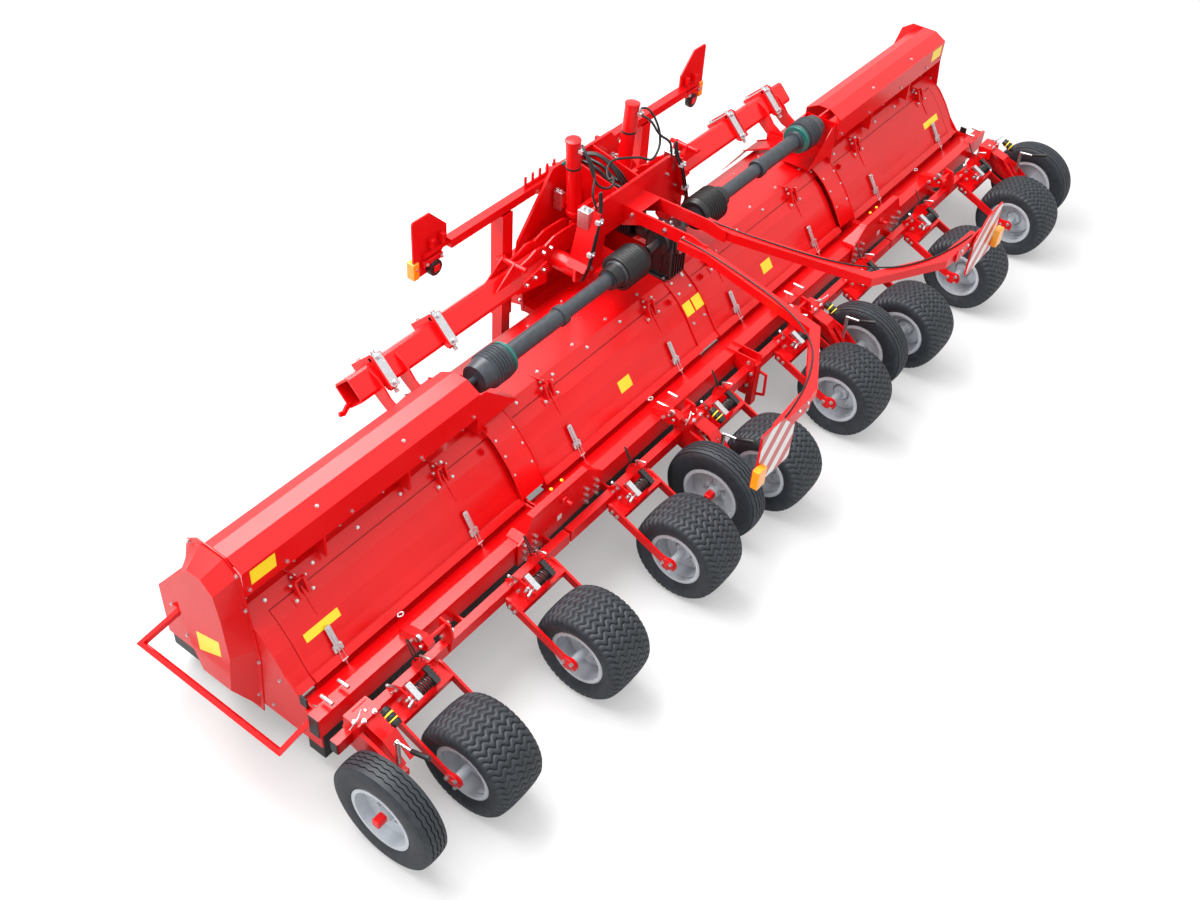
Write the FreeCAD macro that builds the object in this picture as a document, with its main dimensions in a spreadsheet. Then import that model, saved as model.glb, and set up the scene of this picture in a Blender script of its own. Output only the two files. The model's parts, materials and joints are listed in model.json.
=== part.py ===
import FreeCAD, Part
import math
import os
import Sketcher

App = FreeCAD
doc = App.newDocument("haulm_topper")

# Driving sizes in millimetres. X points to the machine's right, Y forwards and Z up.
# Lengths called *_y are measured forwards from the ridge wheels' axle line.
SIZES = {
    "origin_y": 885,              # from the axle line to the middle of the machine's length
    "row_pitch": 900,
    "running_gap": 8,
    "sheet": 5,
    "plate": 12,
    # ridge wheels
    "ridge_tyre_radius": 285,
    "ridge_tyre_width": 325,
    "ridge_tyre_shoulder": 55,
    "ridge_rim_radius": 150,
    "ridge_flange_radius": 165,
    "ridge_rim_width": 282,
    "rim_wall": 6,
    "ridge_hub_radius": 24,
    "ridge_axle_radius": 15,
    "bore_clearance": 1,
    # support wheels
    "support_tyre_radius": 312,
    "support_tyre_width": 150,
    "support_tyre_shoulder": 34,
    "support_rim_radius": 168,
    "support_flange_radius": 183,
    "support_rim_width": 136,
    "support_hub_radius": 38,
    "support_axle_radius": 20,
    "support_y": 118,
    "outer_support_x": 3665, "fork_gap": 35, "fork_thick": 20,
    "inner_support_x": 900,
    # housings
    "section_x": 1865,            # where the centre housing ends
    "section_gap": 14,
    "end_x": 3590,                # outer face of the wing's end plate
    "lip_y": 778, "lip_z": 525,
    "skirt_y": 817, "skirt_z": 552,
    "waist_y": 862, "waist_z": 615,
    "cheek_y": 923, "cheek_z": 712,
    "neck_y": 1000, "neck_z": 806,
    "seam_y": 1055, "seam_z": 850,
    "crown_y": 1130, "crown_z": 905,
    "brow_y": 1440, "brow_z": 905,
    "face_y": 1628, "face_z": 800,
    "nose_y": 1790, "nose_z": 600,
    "front_tube": 80,
    "end_plate_low": 230,
    # lids
    "hinge_y": 1061,
    "hinge_z": 902,
    "hinge_pin_radius": 8,
    "hinge_boss_radius": 16,
    "lid_middle_gap": 110,
    "lid_end_gap": 120,
    "centre_hinge_inset": 240, "centre_hinge_outset": 327,
    "wing_hinge_inset": 366, "wing_hinge_outset": 188,
    "collar_width": 170,
    "collar_rise": 30,
    # rotor
    "rotor_y": 1290,
    "rotor_z": 480,
    "rotor_tube_radius": 95,
    "rotor_shaft_radius": 30,
    "flail_reach": 350,
    "flail_width": 60,
    "flail_thick": 14,
    "flail_pitch": 150,
    # rubber flaps
    "flap_low": 130, "flap_thick": 8, "flap_inset": 12, "flap_overlap": 20,
    # rear frame
    "main_tube_y": 647, "main_tube_z": 580,
    "main_tube_depth": 70, "main_tube_height": 140,
    "low_tube_y": 508, "low_tube_z": 500,
    "low_tube_depth": 50, "low_tube_height": 80,
    "sill_lap": 22, "sill_drop": 55,
    "middle_link_left": 830, "middle_link_right": 520,
    "wing_link_left": 3005, "wing_link_right": 2645,
    # ridge wheel arms
    "arm_offset": 195,            # from the wheel's middle to the arm's outer face
    "arm_thick": 15,
    "arm_depth": 50,
    "arm_front_y": 445, "arm_front_z": 450,
    "hanger_length": 420,
    # fold beams
    "pivot_x": 500,
    "pivot_z": 1030,
    "pivot_boss_radius": 62,
    "pivot_pin_radius": 30,
    "beam_inset": 145,            # from the tower's front plate back to the beam's middle
    "beam_size": 200,
    "beam_wall": 10,
    "beam_end_x": 2250,
    "beam_start_x": 620,
    "inner_clamp_x": 1565, "outer_clamp_x": 2050, "clamp_half": 12,
    # tower
    "tower_reach": 95,             # from the hood's front to the front plate's rear face
    "tower_rear_y": 1490,          # front face of the rear plate
    "tower_plate": 20,
    "keel_x": 100, "keel_thick": 12,
    "tower_top": 1500,
    # fold cylinders
    "trunnion_x": 258, "trunnion_z": 1280, "trunnion_radius": 20,
    "eye_x": 244, "eye_z": 1130, "eye_radius": 34, "eye_pin_radius": 16,
    "lever_gap": 35, "lever_thick": 15,
    "barrel_radius": 47, "barrel_bore": 36, "piston_rod_radius": 25,
    "barrel_up": 485, "barrel_down": 62,
    # drive line
    "drive_y": 1200, "drive_z": 1160, "drive_shaft_radius": 30,
    "gearbox_half": 92, "gearbox_depth": 330, "gearbox_top": 1240, "gearbox_crown_radius": 118,
    "input_boot_radius": 95, "input_shaft_radius": 22, "input_free": 110,
    "guard_radius": 54, "guard_bore": 46.3, "inner_guard_radius": 46,
    "boot_radius": 104, "boot_gap": 60,
    "joint_x": 250, "wing_joint_x": 1880, "joint_ball": 28, "joint_pin_radius": 11,
    "wing_input_x": 1925,
    "trough_half": 122, "trough_length": 320,
    "cover_half": 140, "cover_low": 1053, "cover_shoulder": 1213,
    "cover_top_half": 48, "cover_top": 1264,
    # belt guard on the wing's end
    "guard_depth": 125, "guard_flange": 6,
    # front light bar
    "bar_y": 1940, "bar_z": 1400, "bar_size": 60, "bar_half": 1208,
    "board_width": 285, "board_height": 395, "board_thick": 10, "board_top": 256,
    "board_corner": 138, "lamp_height": 112,
    # rear light arms
    "arm_tube": 60,
    "rear_board_x": 1075, "rear_board_width": 355, "rear_board_y": 365,
    "rear_board_low": 1020, "rear_board_top": 1412, "rear_board_corner": 150,
    "rear_lamp_low": 1092, "rear_lamp_height": 118,
    "hose_radius": 11,
    # headstock
    "link_half": 483, "link_y": 2130, "link_z": 560, "link_pin_radius": 18,
    "top_link_z": 1250, "top_pin_radius": 16,
    # parking stands
    "stand_x": 720, "stand_y": 1940, "stand_sleeve": 95, "stand_leg": 80, "slide_clearance": 0.3,
    "stand_low": 600, "stand_foot": 160, "foot_thick": 12,
}


class Length:
    """A length in millimetres with the spreadsheet formula that it comes from."""

    def __init__(self, number, formula):
        self.number = float(number)
        self.formula = formula

    def __add__(self, other):
        other = length(other)
        return Length(self.number + other.number, f"({self.formula} + {other.formula})")

    def __sub__(self, other):
        other = length(other)
        return Length(self.number - other.number, f"({self.formula} - {other.formula})")

    def __mul__(self, factor):
        return Length(self.number * factor, f"({self.formula} * {factor})")

    def __truediv__(self, divisor):
        return Length(self.number / divisor, f"({self.formula} / {divisor})")

    def __neg__(self):
        return Length(-self.number, f"(-{self.formula})")

    __radd__ = __add__

    def __rsub__(self, other):
        return length(other) - self


def length(value):
    return value if isinstance(value, Length) else Length(value, repr(float(value)))


class Dims:
    """The spreadsheet's cells as lengths."""

    def __init__(self, sizes):
        sheet = doc.addObject("Spreadsheet::Sheet", "dims")
        for row, (name, number) in enumerate(sizes.items(), start=1):
            sheet.set(f"A{row}", name)
            sheet.set(f"B{row}", str(number))
            sheet.setAlias(f"B{row}", name)
        doc.recompute()
        for name, number in sizes.items():
            setattr(self, name, Length(number, f"dims.{name}"))


D = Dims(SIZES)
D.tower_front_y = D.nose_y + D.tower_reach
D.beam_y = D.tower_front_y - D.beam_inset

X, Y, Z = App.Vector(1, 0, 0), App.Vector(0, 1, 0), App.Vector(0, 0, 1)
# Each plane's rotation turns a sketch's own axes to the named ones.
PLANES = {
    "XY": App.Rotation(),
    "XZ": App.Rotation(X, 90),
    "YZ": App.Rotation(App.Vector(1, 1, 1), 120),
}


def bind(obj, prop, value):
    obj.setExpression(prop, length(value).formula)


def place(obj, x=0, y=0, z=0, rotation=None):
    """Places obj at lengths measured from the ridge wheels' axle line."""
    x, y, z = length(x), length(y) - D.origin_y, length(z)
    obj.Placement = App.Placement(
        App.Vector(x.number, y.number, z.number), rotation or App.Rotation())
    bind(obj, "Placement.Base.x", x)
    bind(obj, "Placement.Base.y", y)
    bind(obj, "Placement.Base.z", z)
    return obj


def box(x0, x1, y0, y1, z0, z1):
    x0, x1, y0, y1, z0, z1 = [length(v) for v in (x0, x1, y0, y1, z0, z1)]
    block = doc.addObject("Part::Box", "block")
    bind(block, "Length", x1 - x0)
    bind(block, "Width", y1 - y0)
    bind(block, "Height", z1 - z0)
    return place(block, x0, y0, z0)


TURNS = {"X": App.Rotation(Y, 90), "Y": App.Rotation(X, -90), "Z": App.Rotation()}


def round_bar(axis, start, end, a, b, radius):
    """A cylinder along axis from start to end; a and b are its centre on the other two axes."""
    start, end = length(start), length(end)
    bar = doc.addObject("Part::Cylinder", "round")
    bind(bar, "Radius", radius)
    bind(bar, "Height", end - start)
    spot = {"X": (start, a, b), "Y": (a, start, b), "Z": (a, b, start)}[axis]
    return place(bar, *spot, rotation=TURNS[axis])


def cone(axis, start, end, a, b, radius0, radius1):
    start, end = length(start), length(end)
    piece = doc.addObject("Part::Cone", "cone")
    bind(piece, "Radius1", radius0)
    bind(piece, "Radius2", radius1)
    bind(piece, "Height", end - start)
    spot = {"X": (start, a, b), "Y": (a, start, b), "Z": (a, b, start)}[axis]
    return place(piece, *spot, rotation=TURNS[axis])


def fuse(*pieces):
    if len(pieces) == 1:
        return pieces[0]
    whole = doc.addObject("Part::MultiFuse", "joined")
    whole.Shapes = list(pieces)
    return whole


def cut(piece, *tools):
    result = doc.addObject("Part::Cut", "cut")
    result.Base = piece
    result.Tool = fuse(*tools)
    return result


def mirror(piece):
    twin = doc.addObject("Part::Mirroring", "twin")
    twin.Source = piece
    twin.Base = App.Vector(0, 0, 0)
    twin.Normal = X
    return twin


def both(piece):
    return [piece, mirror(piece)]


def draw(points):
    """A sketch of joined straight edges, each corner held by two bound distances."""
    sketch = doc.addObject("Sketcher::SketchObject", "outline")
    corners = [(length(u), length(v)) for u, v in points]
    count = len(corners)
    spots = [App.Vector(u.number, v.number, 0) for u, v in corners]
    for i in range(count):
        sketch.addGeometry(Part.LineSegment(spots[i], spots[(i + 1) % count]))
    for i in range(count):
        sketch.addConstraint(Sketcher.Constraint("Coincident", i, 2, (i + 1) % count, 1))
    for i, (u, v) in enumerate(corners):
        for kind, value in (("DistanceX", u), ("DistanceY", v)):
            k = sketch.addConstraint(Sketcher.Constraint(kind, -1, 1, i, 1, value.number))
            sketch.setExpression(f"Constraints[{k}]", value.formula)
    return sketch


def prism(plane, points, start, end):
    """A solid with that outline in plane, from start to end along the plane's normal axis."""
    start, end = length(start), length(end)
    sketch = draw(points)
    spot = {"XY": (0, 0, start), "XZ": (0, start, 0), "YZ": (start, 0, 0)}[plane]
    place(sketch, *spot, rotation=PLANES[plane])
    solid = doc.addObject("Part::Extrusion", "prism")
    solid.Base = sketch
    solid.DirMode = "Custom"
    solid.Dir = {"XY": Z, "XZ": Y, "YZ": X}[plane]
    solid.Solid = True
    bind(solid, "LengthFwd", end - start)
    return solid


def offset_points(points, thickness):
    """The corners of a line that runs beside points, thickness away on their left."""
    numbers = [(length(u).number, length(v).number) for u, v in points]
    t = length(thickness).number
    normals = []
    for (ua, va), (ub, vb) in zip(numbers, numbers[1:]):
        run = ((ub - ua) ** 2 + (vb - va) ** 2) ** 0.5
        normals.append((-(vb - va) / run, (ub - ua) / run))
    beside = []
    for i, (u, v) in enumerate(numbers):
        before = normals[max(i - 1, 0)]
        after = normals[min(i, len(normals) - 1)]
        share = 1 + before[0] * after[0] + before[1] * after[1]
        beside.append((u + t * (before[0] + after[0]) / share, v + t * (before[1] + after[1]) / share))
    return beside


def strip(plane, points, thickness, start, end):
    """Folded sheet metal: a line of bends given a thickness on its left, from start to end."""
    start, end = length(start), length(end)
    corners = [(length(u), length(v)) for u, v in points]
    beside = offset_points(points, thickness)
    count = len(corners)
    outer = [App.Vector(u.number, v.number, 0) for u, v in corners]
    inner = [App.Vector(u, v, 0) for u, v in beside]
    loop = outer + inner[::-1]
    sketch = doc.addObject("Sketcher::SketchObject", "fold")
    for i in range(2 * count):
        sketch.addGeometry(Part.LineSegment(loop[i], loop[(i + 1) % (2 * count)]))
    for i in range(2 * count):
        sketch.addConstraint(Sketcher.Constraint("Coincident", i, 2, (i + 1) % (2 * count), 1))
    for i, (u, v) in enumerate(corners):
        for kind, value in (("DistanceX", u), ("DistanceY", v)):
            k = sketch.addConstraint(Sketcher.Constraint(kind, -1, 1, i, 1, value.number))
            sketch.setExpression(f"Constraints[{k}]", value.formula)
    for i in range(count - 1):
        partner = 2 * count - 2 - i
        sketch.addConstraint(Sketcher.Constraint("Parallel", i, partner))
        k = sketch.addConstraint(
            Sketcher.Constraint("Distance", partner, 2, i, length(thickness).number))
        sketch.setExpression(f"Constraints[{k}]", length(thickness).formula)
    sketch.addConstraint(Sketcher.Constraint("Perpendicular", count - 1, count - 2))
    sketch.addConstraint(Sketcher.Constraint("Perpendicular", 2 * count - 1, 0))
    spot = {"XY": (0, 0, start), "XZ": (0, start, 0), "YZ": (start, 0, 0)}[plane]
    place(sketch, *spot, rotation=PLANES[plane])
    solid = doc.addObject("Part::Extrusion", "sheet_metal")
    solid.Base = sketch
    solid.DirMode = "Custom"
    solid.Dir = {"XY": Z, "XZ": Y, "YZ": X}[plane]
    solid.Solid = True
    bind(solid, "LengthFwd", end - start)
    return solid


def bent_tube(points, size):
    """A square tube's outer form along straight runs, mitred where they meet."""
    spots = [App.Vector(*[length(v).number for v in p]) - Y * D.origin_y.number for p in points]
    half = length(size).number / 2
    run = (spots[1] - spots[0]).normalize()
    side, up = run.cross(Z), Z
    corners = [spots[0] + side * u * half + up * v * half
               for u, v in ((-1, -1), (1, -1), (1, 1), (-1, 1))]
    ring = Part.Wire(Part.makePolygon(corners + corners[:1]).Edges)
    path = Part.Wire(Part.makePolygon(spots).Edges)
    feature = doc.addObject("Part::Feature", "bent")
    feature.Shape = path.makePipeShell([ring], True, False, 1)
    return feature


def hose(points, radius):
    """A round hose along straight runs joined by tangent arcs."""
    spots = [App.Vector(*[length(v).number for v in p]) - Y * D.origin_y.number for p in points]
    edges = []
    start = spots[0]
    for before, corner, after in zip(spots, spots[1:], spots[2:]):
        into = (corner - before).normalize()
        away = (after - corner).normalize()
        reach = 0.45 * min((corner - before).Length, (after - corner).Length)
        a, b = corner - into * reach, corner + away * reach
        turn = into.getAngle(away)
        bend = reach / math.tan(turn / 2)
        middle = corner + (away - into).normalize() * (math.hypot(reach, bend) - bend)
        edges.append(Part.LineSegment(start, a).toShape())
        edges.append(Part.Arc(a, middle, b).toShape())
        start = b
    edges.append(Part.LineSegment(start, spots[-1]).toShape())
    path = Part.Wire(edges)
    ring = Part.Wire(Part.Circle(spots[0], spots[1] - spots[0], length(radius).number).toShape())
    feature = doc.addObject("Part::Feature", "hose")
    feature.Shape = path.makePipeShell([ring], True, False)
    return feature


NODES = []


def node(label, *pieces):
    whole = fuse(*pieces)
    whole.Label = label
    NODES.append(whole)
    return whole


# ---------------------------------------------------------------- wheels

def turned(profile, x, y, z):
    """A solid of revolution about a line along X through (y, z); profile is (along, radius) from x."""
    sketch = draw(profile)
    place(sketch, x, y, z, rotation=PLANES["XZ"])
    solid = doc.addObject("Part::Revolution", "turned")
    solid.Source = sketch
    solid.Axis = X
    bind(solid, "Base.y", length(y) - D.origin_y)
    bind(solid, "Base.z", z)
    solid.Base = App.Vector(0, length(y).number - D.origin_y.number, length(z).number)
    solid.Angle = 360
    solid.Solid = True
    return solid


def tyre(x, y, radius, width, shoulder, rim_radius, flange_radius, rim_width):
    """A tyre's ring: beads inside the rim's flanges, upright sidewalls and a flat crown."""
    half, bead = width / 2, rim_width / 2 - D.rim_wall - 1
    seat = rim_radius + 1
    side = flange_radius + shoulder / 2
    profile = [(-bead, seat), (bead, seat), (bead, flange_radius), (half, side),
               (half, radius - shoulder), (half - shoulder, radius),
               (shoulder - half, radius), (-half, radius - shoulder),
               (-half, side), (-bead, flange_radius)]
    return turned(profile, x, y, radius)


def rim(x, y, z, rim_radius, flange_radius, width, hub_radius, bore, hub_start, hub_end, disc):
    """A rim's barrel with its flanges, the disc across it and the hub that the axle runs through."""
    half = width / 2
    wall = D.rim_wall
    barrel = turned([(-half, rim_radius - wall), (half, rim_radius - wall), (half, flange_radius),
                     (half - wall, flange_radius), (half - wall, rim_radius),
                     (wall - half, rim_radius), (wall - half, flange_radius),
                     (-half, flange_radius)], x, y, z)
    web = turned([(disc, bore), (disc + wall, bore), (disc + wall, rim_radius - wall / 2),
                  (disc, rim_radius - wall / 2)], x, y, z)
    hub = turned([(hub_start, bore), (hub_end, bore), (hub_end, hub_radius),
                  (hub_start, hub_radius)], x, y, z)
    return [barrel, web, hub]


RIDGE_NAMES = ["left_outer", "left_inner", "centre_left_outer", "centre_left_inner",
               "centre_right_inner", "centre_right_outer", "right_inner", "right_outer"]
SUPPORT_NAMES = ["support_left_outer", "support_left_inner",
                 "support_right_inner", "support_right_outer"]


def ridge_x(index):
    return D.row_pitch * (index - 3.5)


def ridge_wheels():
    for index, name in enumerate(RIDGE_NAMES):
        x = ridge_x(index)
        node(f"{name}_tyre", tyre(x, 0, D.ridge_tyre_radius, D.ridge_tyre_width,
                                  D.ridge_tyre_shoulder, D.ridge_rim_radius,
                                  D.ridge_flange_radius, D.ridge_rim_width))
        reach = D.arm_offset - D.arm_thick - D.running_gap
        node(f"{name}_rim", *rim(x, 0, D.ridge_tyre_radius, D.ridge_rim_radius,
                                 D.ridge_flange_radius, D.ridge_rim_width, D.ridge_hub_radius,
                                 D.ridge_axle_radius + 0.05, -reach, reach,
                                 D.ridge_rim_width * -0.1))


def support_x(index):
    return [-D.outer_support_x, -D.inner_support_x, D.inner_support_x, D.outer_support_x][index]


def support_wheels():
    for index, name in enumerate(SUPPORT_NAMES):
        x = support_x(index)
        outward = -1 if index < 2 else 1
        node(f"{name}_tyre", tyre(x, D.support_y, D.support_tyre_radius, D.support_tyre_width,
                                  D.support_tyre_shoulder, D.support_rim_radius,
                                  D.support_flange_radius, D.support_rim_width))
        inner, outer = D.support_rim_width / -2, D.support_rim_width * 0.3
        start, end = (inner, outer) if outward > 0 else (-outer, -inner)
        disc = length(-3)
        node(f"{name}_rim", *rim(x, D.support_y, D.support_tyre_radius, D.support_rim_radius,
                                 D.support_flange_radius, D.support_rim_width,
                                 D.support_hub_radius, D.support_axle_radius + 0.05,
                                 start, end, disc))


# ---------------------------------------------------------------- housings

def hood_line():
    """The fixed hood's outer face from the lid seam over the crown to the front tube."""
    return [(D.nose_y, D.nose_z - D.front_tube / 2), (D.nose_y, D.nose_z), (D.face_y, D.face_z),
            (D.brow_y, D.brow_z), (D.crown_y, D.crown_z), (D.seam_y + 8, D.seam_z + 6)]


def lid_line():
    """The lid's outer face from under its hinge down to its lip."""
    return [(D.seam_y, D.seam_z), (D.neck_y, D.neck_z), (D.cheek_y, D.cheek_z),
            (D.waist_y, D.waist_z), (D.skirt_y, D.skirt_z), (D.lip_y, D.lip_z)]


def fixed_line():
    """The face of the strips beside the lids, from the hood's edge down to the lip."""
    return hood_line()[-1:] + lid_line()


def end_plate(x0, x1):
    """An end wall of a housing, out to the hood's faces all round."""
    return prism("YZ", [(D.main_tube_y, D.end_plate_low), (D.nose_y, D.end_plate_low),
                        (D.nose_y, D.nose_z), (D.face_y, D.face_z), (D.brow_y, D.brow_z),
                        (D.crown_y, D.crown_z), (D.seam_y, D.seam_z + 6),
                        (D.neck_y, D.neck_z + 6), (D.cheek_y, D.cheek_z + 6),
                        (D.waist_y, D.waist_z + 6), (D.lip_y, D.lip_z + 6),
                        (D.main_tube_y, D.lip_z + 6)], x0, x1)


def bearing_hole(x0, x1):
    return round_bar("X", length(x0) - 1, length(x1) + 1, D.rotor_y, D.rotor_z,
                     D.rotor_shaft_radius + 0.05)


def hood_top(x0, x1):
    line = hood_line()
    sheet = strip("YZ", line, D.sheet, x0, x1)
    tube = box(x0, x1, D.nose_y - D.front_tube, D.nose_y - D.sheet - 0.0, D.nose_z - D.front_tube,
               D.nose_z - 12)
    return [sheet, tube]


def fin(x):
    """A hinge fin: a thin plate standing on the hood with the hinge pin's boss behind it."""
    plate = prism("YZ", [(D.hinge_y + 8, D.seam_z + 4), (D.hinge_y + 8, D.hinge_z + 14),
                         (D.hinge_y + 40, D.hinge_z + 14), (D.crown_y + 60, D.crown_z),
                         (D.crown_y, D.crown_z - 3)], length(x) - 5, length(x) + 5)
    pin = round_bar("X", length(x) - 45, length(x) + 45, D.hinge_y, D.hinge_z, D.hinge_pin_radius)
    web = box(length(x) - 5, length(x) + 5, D.hinge_y - 1, D.hinge_y + 12, D.hinge_z - 8,
              D.hinge_z + 8)
    return [plate, pin, web]


def centre_lid_ends():
    return D.lid_middle_gap, D.section_x - D.collar_width - D.running_gap


def wing_lid_ends():
    return wing_start() + D.plate + D.running_gap, D.end_x - D.lid_end_gap


def centre_hinges():
    start, end = centre_lid_ends()
    return [start + D.centre_hinge_inset, end - D.centre_hinge_outset]


def wing_hinges():
    start, end = wing_lid_ends()
    return [start + D.wing_hinge_inset, end - D.wing_hinge_outset]


def centre_housing():
    half = D.section_x
    parts = hood_top(-half, half)
    parts += both(cut(end_plate(half - D.plate, half), bearing_hole(half - D.plate, half)))
    for x in centre_hinges():
        for piece in fin(x):
            parts += both(piece)
    # the fixed strip between the two lids
    parts.append(strip("YZ", fixed_line(), D.sheet, D.running_gap - D.lid_middle_gap,
                       D.lid_middle_gap - D.running_gap))
    node("centre_hood", *parts)


def wing_start():
    return D.section_x + D.section_gap


def collar(x0, x1, rise):
    """A faceted band round a housing's end, standing proud of hood and lid."""
    line = [(D.nose_y + rise, D.nose_z), (D.face_y + rise, D.face_z + rise),
            (D.brow_y, D.brow_z + rise), (D.crown_y, D.crown_z + rise),
            (D.seam_y - rise / 2, D.seam_z + rise), (D.neck_y - rise / 2, D.neck_z + rise),
            (D.cheek_y - rise, D.cheek_z + rise / 2), (D.waist_y - rise, D.waist_z + rise / 2),
            (D.skirt_y - rise, D.skirt_z)]
    return strip("YZ", line, D.sheet, x0, x1)


def wing_housing(side):
    start, end = wing_start(), D.end_x
    parts = hood_top(start, end - D.plate)
    parts.append(cut(end_plate(start, start + D.plate), bearing_hole(start, start + D.plate)))
    parts.append(cut(end_plate(end - D.plate, end), bearing_hole(end - D.plate, end)))
    band_end = start + D.plate
    parts.append(collar(D.section_x - D.collar_width, band_end, D.collar_rise))
    # the step that carries the collar on the wing's end wall
    parts.append(cut(box(start, start + D.plate, D.cheek_y, D.nose_y - 20, D.face_z - 60,
                         D.brow_z + D.collar_rise - D.sheet / 2),
                     box(start - 1, start + D.plate + 1, D.face_y - 40, D.nose_y, D.face_z - 61,
                         D.brow_z + 100),
                     box(start - 1, start + D.plate + 1, D.cheek_y - 1, D.seam_y, D.face_z - 61,
                         D.brow_z + 100)))
    for x in wing_hinges():
        parts += fin(x)
    # the fixed strip between the lid and the end wall
    parts.append(strip("YZ", fixed_line(), D.sheet, end - D.lid_end_gap + D.running_gap,
                       end - D.plate))
    # input bearing box with its trough round the drive shaft's outer end
    whole = fuse(fuse(*parts), fuse(*input_box()))
    return whole if side > 0 else mirror(whole)


def input_box():
    """The wing's input bearing plate with its trough round the drive shaft's outer end."""
    face, start = D.wing_input_x, D.wing_input_x - D.trough_length
    y0, y1 = D.drive_y - D.trough_half, D.drive_y + D.trough_half
    floor_z = D.crown_z + D.collar_rise + D.running_gap
    plate = cut(box(face, face + D.plate, y0, y1, D.crown_z, D.drive_z + 20),
                round_bar("X", face - 1, face + D.plate + 1, D.drive_y, D.drive_z,
                          D.drive_shaft_radius + 0.05))
    slope = [(start, floor_z), (face, floor_z), (face, D.drive_z + 20), (face - 60, D.drive_z + 10)]
    rear = prism("XZ", slope, y0, y0 + D.sheet)
    front = prism("XZ", slope, y1 - D.sheet, y1)
    floor = box(start, face, y0, y1, floor_z, floor_z + D.sheet)
    foot = box(wing_start(), face + D.plate, y0, y1, D.crown_z, floor_z + D.sheet)
    return [plate, rear, front, floor, foot]


def lid(x0, x1, hinges):
    """A rear lid hung from eyes on the hinge pins, with two over-centre latches near its lip."""
    line = lid_line()
    parts = [strip("YZ", line, D.sheet, x0, x1)]
    for x in hinges:
        for offset in (-28, 28):
            ear = prism("YZ", [(D.hinge_y - 16, D.hinge_z + 14), (D.seam_y - 44, D.seam_z - 24),
                               (D.seam_y - 2, D.seam_z - 4), (D.hinge_y + 12, D.hinge_z + 4)],
                        x + offset - 8, x + offset + 8)
            eye = round_bar("X", x + offset - 8, x + offset + 8, D.hinge_y, D.hinge_z,
                            D.hinge_boss_radius)
            bore = round_bar("X", x + offset - 9, x + offset + 9, D.hinge_y, D.hinge_z,
                             D.hinge_pin_radius + 0.05)
            parts.append(cut(fuse(ear, eye), bore))
        parts.append(prism("YZ", [(D.seam_y - 3, D.seam_z + 2), (D.neck_y, D.neck_z - 2),
                                  (D.cheek_y + 6, D.cheek_z + 8), (D.neck_y - 20, D.neck_z + 14),
                                  (D.seam_y - 16, D.seam_z + 32)], x - 4, x + 4))
    for x in hinges:
        base = box(x - 18, x + 18, D.skirt_y - 30, D.skirt_y + 6, D.skirt_z - 6, D.skirt_z + 18)
        handle = box(x - 13, x + 13, D.skirt_y - 34, D.skirt_y - 26, D.skirt_z - 8, D.skirt_z + 130)
        parts += [base, handle]
    return fuse(*parts)


def lids():
    right_wing_lid = lid(*wing_lid_ends(), wing_hinges())
    right_centre_lid = lid(*centre_lid_ends(), centre_hinges())
    node("right_lid", right_wing_lid)
    node("left_lid", mirror(right_wing_lid))
    node("centre_right_lid", right_centre_lid)
    node("centre_left_lid", mirror(right_centre_lid))


def drive_cover():
    """The sheet cover over a wing's drive shaft, its two supports and the shaft itself."""
    y, start = D.drive_y, D.wing_input_x + D.plate
    half, top = D.cover_half, D.cover_top_half
    cover = strip("YZ", [(y + half, D.cover_low), (y + half, D.cover_shoulder),
                         (y + top, D.cover_top), (y - top, D.cover_top),
                         (y - half, D.cover_shoulder), (y - half, D.cover_low)],
                  D.sheet, start, D.end_x)
    shaft = round_bar("X", D.wing_joint_x + D.joint_ball + D.slide_clearance,
                      D.end_x + D.guard_flange, y, D.drive_z, D.drive_shaft_radius)
    parts = [cover, shaft]
    for gap in (500, 1100):
        x = D.end_x - gap
        parts.append(cut(box(x - D.plate, x, y - half + D.sheet, y + half - D.sheet, D.crown_z,
                             D.cover_shoulder - 10),
                         round_bar("X", x - D.plate - 1, x + 1, y, D.drive_z,
                                   D.drive_shaft_radius + 0.05)))
    return parts


GUARD_FOOT = [(1090, 190), (1045, 677), (1080, 980), (1095, 1170), (1180, 1238), (1330, 1238),
              (1412, 1180), (1506, 826), (1460, 420), (1400, 190)]
GUARD_FACE = [(1140, 400), (1095, 690), (1110, 950), (1135, 1110), (1205, 1178), (1300, 1178),
              (1350, 1130), (1435, 860), (1395, 560), (1340, 400)]


def belt_guard():
    """The hipped cover over a wing's belt drive, hollow, with a flange round its foot."""
    x0, x1 = D.end_x + D.guard_flange, D.end_x + D.guard_depth
    middle_y, middle_z = D.rotor_y - 30, 750

    def shell(grow, start, end):
        sections = []
        for outline, x in ((GUARD_FOOT, start), (GUARD_FACE, end)):
            corners = [(length(y) + (grow if y > middle_y.number else -grow),
                        length(z) + (grow if z > middle_z else -grow)) for y, z in outline]
            sections.append(place(draw(corners), x, 0, 0, rotation=PLANES["YZ"]))
        loft = doc.addObject("Part::Loft", "hipped")
        loft.Sections = sections
        loft.Solid = True
        loft.Ruled = True
        return loft

    outer, inner = shell(0, x0, x1), shell(-5, x0 - 1, x1 - D.sheet)
    flange = prism("YZ", [(y + (22 if y > middle_y.number else -22),
                           z + (22 if z > middle_z else -22)) for y, z in GUARD_FOOT],
                   D.end_x, D.end_x + D.guard_flange)
    return [cut(outer, inner), flange]


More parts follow.
